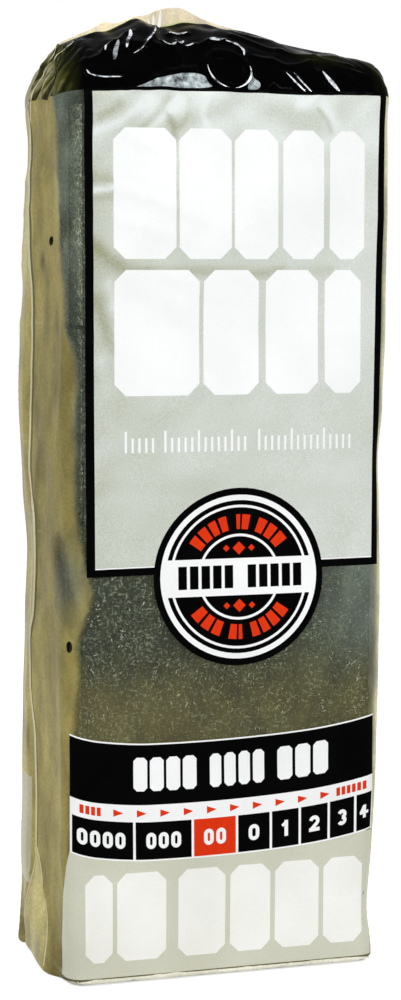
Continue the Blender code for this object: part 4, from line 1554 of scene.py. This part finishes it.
def ply_line():
    """Points and normals along the middle of the folded strip, in the YZ section."""
    straight = PAD_HEIGHT / 2 - PLY_PITCH + PLY_SLIT / 2
    free_end = PAD_HEIGHT / 2 - PLY_SLIT
    line = []
    for ply in range(PLIES):
        up = 1.0 if ply % 2 == 0 else -1.0
        y = (ply - (PLIES - 1) / 2) * PLY_PITCH
        low = free_end if ply == 0 else straight
        high = free_end if ply == PLIES - 1 else straight
        for i in range(RUN_STEPS + 1):
            line.append(((y, up * mix(-low, high, i / RUN_STEPS)), (-up, 0.0)))
        if ply == PLIES - 1:
            break
        for i in range(1, TURN_STEPS):
            angle = math.pi * (1.0 - i / TURN_STEPS)
            out_y = math.cos(angle)
            out_z = up * math.sin(angle)
            turn = (y + PLY_PITCH / 2 * (1.0 + out_y), up * straight + PLY_PITCH / 2 * out_z)
            line.append((turn, (up * out_y, up * out_z)))
    return line


def pad_body(place):
    """Vertices and faces of one folded pad of matted wool."""
    line = ply_line()
    xs = [-PAD_LENGTH / 2 + PAD_LENGTH * i / PAD_STATIONS for i in range(PAD_STATIONS + 1)]
    xs[1:1] = [-PAD_LENGTH / 2 + 1.2 * MM]
    xs[-1:-1] = [PAD_LENGTH / 2 - 1.2 * MM]
    vertices = []
    for x in xs:
        to_end = PAD_LENGTH / 2 - abs(x)
        slit = mix(END_SLIT, PLY_SLIT, min(to_end / END_TAPER, 1.0))
        for side in (1.0, -1.0):
            for (y, z), (ny, nz) in line:
                spot = Vector((x, y, z)) + place
                lumps = 0.5 * MM * noise.noise(spot * 120.0) + 0.3 * MM * noise.noise(spot * 420.0)
                half = (PLY_PITCH - slit) / 2 + lumps
                ragged = 1.2 * MM * abs(noise.noise(spot * 300.0)) if to_end < 0.5 * MM else 0.0
                vertices.append((x - math.copysign(ragged, x), y + side * ny * half, z + side * nz * half))
    count = len(line)
    faces = []
    for ring in range(len(xs) - 1):
        low = ring * 2 * count
        high = low + 2 * count
        for i in range(count - 1):
            faces.append((low + i, low + i + 1, high + i + 1, high + i))
            faces.append((low + count + i + 1, low + count + i, high + count + i, high + count + i + 1))
        for i in (0, count - 1):
            pair = (low + i, high + i, high + count + i, low + count + i)
            faces.append(pair if i == 0 else pair[::-1])
    for ring, turned in ((0, False), (len(xs) - 1, True)):
        low = ring * 2 * count
        for i in range(count - 1):
            face = (low + i, low + count + i, low + count + i + 1, low + i + 1)
            faces.append(face[::-1] if turned else face)
    return vertices, faces


def fibre_ribbons(rng, count, origin, width_axis, height_axis, out_axis, width, height, coarse, painted_light):
    """Curled fibres lying on a flat face of a pad, as thin ribbons: vertices, faces, and the tone and painted glint
    of each vertex.
    """
    length = rng.uniform(0.5, 1.8, count) * MM
    tone_and_glint = rng.uniform(0.0, 1.0, count) ** (2.2 / coarse ** 0.8)
    # Fibres on the ends are painted brighter, standing in for light that hardly reaches them through the film.
    tone_and_glint += painted_light * (1.0 - tone_and_glint)
    heading = rng.uniform(0.0, 2.0 * math.pi, count)
    curl = rng.normal(0.0, 1.5, count)
    share = np.linspace(0.0, 1.0, FIBRE_STEPS)
    angles = heading[:, None] + curl[:, None] * share + rng.normal(0.0, 0.25, (count, FIBRE_STEPS))
    hops = np.stack([coarse * np.cos(angles), np.sin(angles)], 2) * (length / FIBRE_STEPS)[:, None, None]
    path = np.concatenate([np.zeros((count, 1, 2)), np.cumsum(hops, 1)], 1)
    room = np.array([width, height])
    low = path.min(1)
    high = path.max(1)
    start = rng.uniform(0.0, 1.0, (count, 2)) * np.maximum(room - (high - low), 0.0) - low - room / 2
    path = path + start[:, None, :]

    way = np.gradient(path, axis=1)
    way /= np.linalg.norm(way, axis=2, keepdims=True)
    aside = np.stack([-way[:, :, 1], way[:, :, 0]], 2)
    roll = rng.uniform(-1.0, 1.0, count)[:, None, None]
    half = (rng.uniform(0.030, 0.065, count) * (0.8 + 0.8 * tone_and_glint) * coarse ** 0.9 * MM)[:, None, None]
    lift = rng.uniform(-0.25, 0.05, count)[:, None] * MM + 0.12 * MM * np.sin(
        math.pi * np.linspace(0.0, 1.0, FIBRE_STEPS + 1)
    )
    a, b, c = (np.array(axis) for axis in (width_axis, height_axis, out_axis))
    centre = np.array(origin) + path[:, :, :1] * a + path[:, :, 1:] * b + lift[:, :, None] * c
    spread = (aside[:, :, :1] * a + aside[:, :, 1:] * b) * np.sqrt(1.0 - roll ** 2) + c * roll
    vertices = np.stack([centre - spread * half, centre + spread * half], 2).reshape(-1, 3)
    first = np.arange(count)[:, None] * 2 * (FIBRE_STEPS + 1) + np.arange(FIBRE_STEPS)[None, :] * 2
    faces = np.stack([first, first + 1, first + 3, first + 2], 2).reshape(-1, 4)
    return vertices, faces, np.repeat(tone_and_glint, 2 * (FIBRE_STEPS + 1))


def pad_fibres(rng, tier, layer):
    """Loose fibres on the faces of a pad that other pads don't hide, most where the film is clear."""
    faces = []
    along_x = (1.0, 0.0, 0.0)
    along_y = (0.0, 1.0, 0.0)
    up = (0.0, 0.0, 1.0)
    if layer == 1:
        count = WINDOW_FIBRES if tier == WINDOW_TIER else FRONT_FIBRES
        front = (0.0, -PAD_THICKNESS / 2, 0.0)
        faces.append((count, front, along_x, up, (0.0, -1.0, 0.0), PAD_LENGTH, 1.0, 0.0))
    if layer == LAYERS:
        back = (0.0, PAD_THICKNESS / 2, 0.0)
        faces.append((BACK_FIBRES, back, along_x, up, along_y, PAD_LENGTH, 1.0, 0.0))
    for side in (-1.0, 1.0):
        end = (side * (PAD_LENGTH / 2 + 0.1 * MM), 0.0, 0.0)
        count = CORNER_FIBRES if layer <= 2 and side < 0.0 else END_FIBRES
        out = (side, 0.0, 0.0)
        faces.append((count, end, along_y, up, out, PAD_THICKNESS, END_FIBRE_STRETCH, END_PAINTED_LIGHT[layer - 1]))
    return [fibre_ribbons(rng, count, origin, a, b, out, wide - 1 * MM, PAD_HEIGHT - 1 * MM, stretch, painted_light)
            for count, origin, a, b, out, wide, stretch, painted_light in faces]


def wool_material():
    """Matted grey wool: painted shade for its dark hollows, and lighter fibres crossing in two directions."""
    material, tree, shader, add = make_material("steel_wool")
    one = textured(tree, add, 1500.0, 4.0, (1.0, 0.35, 0.5))
    other = textured(tree, add, 1500.0, 4.0, (0.4, 0.25, 1.0))
    broad = textured(tree, add, 70.0, 3.0)
    crossed = add("ShaderNodeMath", operation="MAXIMUM")
    tree.links.new(one.outputs["Fac"], crossed.inputs[0])
    tree.links.new(other.outputs["Fac"], crossed.inputs[1])
    total = add("ShaderNodeMath", operation="MULTIPLY_ADD")
    tree.links.new(broad.outputs["Fac"], total.inputs[0])
    total.inputs[1].default_value = 0.3
    tree.links.new(crossed.outputs["Value"], total.inputs[2])
    stops = ((0.60, (0.002, 0.004, 0.002)), (0.73, (0.017, 0.024, 0.016)), (0.86, (0.22, 0.26, 0.18)))
    colours = ramp(tree, add, total.outputs["Value"], stops)
    tree.links.new(colours.outputs["Color"], shader.inputs["Base Color"])
    shader.inputs["Metallic"].default_value = 0.25
    shader.inputs["Roughness"].default_value = 0.55
    add_bump(tree, add, shader, crossed.outputs["Value"], 0.9, 0.5 * MM)
    return material


def fibre_material():
    """Steel fibre whose tone differs at random from strand to strand; the brightest strands are painted glints."""
    material, tree, shader, add = make_material("steel_fibre")
    tone_and_glint = add("ShaderNodeAttribute", attribute_name="tone_and_glint")
    stops = (
        (0.0, (0.010, 0.014, 0.010)),
        (0.45, (0.054, 0.068, 0.048)),
        (0.80, (0.235, 0.275, 0.20)),
        (1.0, (0.92, 0.95, 0.78)),
    )
    colours = ramp(tree, add, tone_and_glint.outputs["Fac"], stops)
    tree.links.new(colours.outputs["Color"], shader.inputs["Base Color"])
    shader.inputs["Metallic"].default_value = 0.45
    shader.inputs["Roughness"].default_value = 0.4
    return material


def build_pads():
    wool = wool_material()
    fibre = fibre_material()
    for tier in range(1, TIERS + 1):
        for layer in range(1, LAYERS + 1):
            build_pad(tier, layer, wool, fibre)


def build_pad(tier, layer, wool, fibre):
    node = f"pad_tier_{tier}_layer_{layer}"
    low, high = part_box(node)
    place = (low + high) / 2
    rng = np.random.default_rng(100 * tier + layer)
    vertices, faces = pad_body(place)
    rise = TOP_RISE if tier == TIERS else PAD_RISE
    vertices = [(x, y, z + rise * between(z, 0.0, PAD_HEIGHT / 2)) for x, y, z in vertices]
    body_faces = len(faces)
    tones_and_glints = [np.zeros(len(vertices))]
    for more, quads, tone_and_glint in pad_fibres(rng, tier, layer):
        faces += (quads + len(vertices)).tolist()
        vertices += more.tolist()
        tones_and_glints.append(tone_and_glint)
    mesh = bpy.data.meshes.new("wool_" + node)
    mesh.from_pydata(vertices, [], faces)
    mesh.materials.append(wool)
    mesh.materials.append(fibre)
    slots = np.zeros(len(faces), np.int32)
    slots[body_faces:] = 1
    mesh.polygons.foreach_set("material_index", slots)
    write_attribute(mesh, "tone_and_glint", "FLOAT", np.concatenate(tones_and_glints))
    mesh.shade_smooth()
    pad = bpy.data.objects.new("wool_" + node, mesh)
    bpy.context.scene.collection.objects.link(pad)
    pad.location = place
    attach(pad, "root")
    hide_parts(node)


# Camera and studio.
CAMERA_TURN = -0.31669
CAMERA_PITCH = 0.0911
CAMERA_TARGET = Vector((-2.2 * MM, 0.0, 247.14 * MM))
CAMERA_DISTANCE = 901.88 * MM
CAMERA_ASIDE = 2.81 * MM
CAMERA_LENS = 90.85


def build_camera():
    camera = bpy.data.objects.new("camera", bpy.data.cameras.new("camera"))
    camera.data.lens = CAMERA_LENS
    camera.data.sensor_width = 36.0
    back = Vector((math.sin(CAMERA_TURN), -math.cos(CAMERA_TURN), 0.0))
    right = Vector((math.cos(CAMERA_TURN), math.sin(CAMERA_TURN), 0.0))
    camera.location = CAMERA_TARGET + back * CAMERA_DISTANCE + right * CAMERA_ASIDE
    camera.rotation_euler = (QUARTER - CAMERA_PITCH, 0.0, CAMERA_TURN)
    bpy.context.scene.collection.objects.link(camera)
    bpy.context.scene.camera = camera


def add_lamp(name, place, target, width, height, power, colour=(1.0, 1.0, 1.0)):
    light = bpy.data.lights.new(name, "AREA")
    light.shape = "RECTANGLE"
    light.size = width
    light.size_y = height
    light.energy = power
    light.color = colour
    lamp = bpy.data.objects.new(name, light)
    lamp.location = place
    lamp.rotation_euler = (Vector(target) - Vector(place)).to_track_quat("-Z", "Y").to_euler()
    bpy.context.scene.collection.objects.link(lamp)


def seen_directly(tree, add):
    """1 for camera, glossy and transmission rays, 0 for the light that falls on the object."""
    path = add("ShaderNodeLightPath")
    first = add("ShaderNodeMath", operation="MAXIMUM")
    tree.links.new(path.outputs["Is Camera Ray"], first.inputs[0])
    tree.links.new(path.outputs["Is Glossy Ray"], first.inputs[1])
    second = add("ShaderNodeMath", operation="MAXIMUM")
    tree.links.new(first.outputs["Value"], second.inputs[0])
    tree.links.new(path.outputs["Is Transmission Ray"], second.inputs[1])
    return second.outputs["Value"]


def build_world():
    world = bpy.data.worlds.new("studio")
    world.use_nodes = True
    tree = world.node_tree
    backdrop = tree.nodes["Background"]
    backdrop.inputs["Color"].default_value = (1.0, 1.0, 1.0, 1.0)
    backdrop.inputs["Strength"].default_value = 1.0
    light = tree.nodes.new("ShaderNodeBackground")
    light.inputs["Color"].default_value = (0.97, 0.98, 1.0, 1.0)
    light.inputs["Strength"].default_value = 0.40
    mixer = tree.nodes.new("ShaderNodeMixShader")

    def add(kind, operation=None):
        node = tree.nodes.new(kind)
        if operation:
            node.operation = operation
        return node

    tree.links.new(seen_directly(tree, add), mixer.inputs["Fac"])
    tree.links.new(light.outputs["Background"], mixer.inputs[1])
    tree.links.new(backdrop.outputs["Background"], mixer.inputs[2])
    tree.links.new(mixer.outputs["Shader"], tree.nodes["World Output"].inputs["Surface"])
    bpy.context.scene.world = world


def build_floor():
    """A pale floor that looks white and keeps the object's shadow."""
    bpy.ops.mesh.primitive_plane_add(size=12.0, location=(0.0, 0.0, -0.05 * MM))
    floor = bpy.context.object
    floor.name = "floor"
    material, tree, shader, add = make_material("floor")
    shader.inputs["Base Color"].default_value = (0.80, 0.80, 0.80, 1.0)
    shader.inputs["Roughness"].default_value = 0.9
    shader.inputs["Specular IOR Level"].default_value = 0.0
    glow = add("ShaderNodeEmission")
    share = add("ShaderNodeMath", operation="MULTIPLY")
    tree.links.new(seen_directly(tree, add), share.inputs[0])
    share.inputs[1].default_value = 0.72
    tree.links.new(share.outputs["Value"], glow.inputs["Strength"])
    both = add("ShaderNodeAddShader")
    tree.links.new(shader.outputs["BSDF"], both.inputs[0])
    tree.links.new(glow.outputs["Emission"], both.inputs[1])
    tree.links.new(both.outputs["Shader"], tree.nodes["Material Output"].inputs["Surface"])
    floor.data.materials.append(material)


def build_studio():
    build_world()
    build_floor()
    add_lamp("key", (0.9, -1.1, 1.3), (0.0, 0.0, 0.16), 0.9, 0.025, 11.5)
    add_lamp("fill", (-1.5, -0.9, 0.7), (0.0, 0.0, 0.16), 0.035, 0.9, 8.5)
    add_lamp("strip", (-0.35, -0.25, 1.0), (0.0, 0.0, 0.33), 0.02, 0.4, 1.6)
    add_lamp("front", (-0.1, -1.4, 0.75), (0.0, 0.0, 0.33), 0.5, 0.02, 2.0)
    view = bpy.context.scene.view_settings
    view.view_transform = "Standard"


build_camera()
build_film()
build_seal_lip()
build_pads()
build_studio()
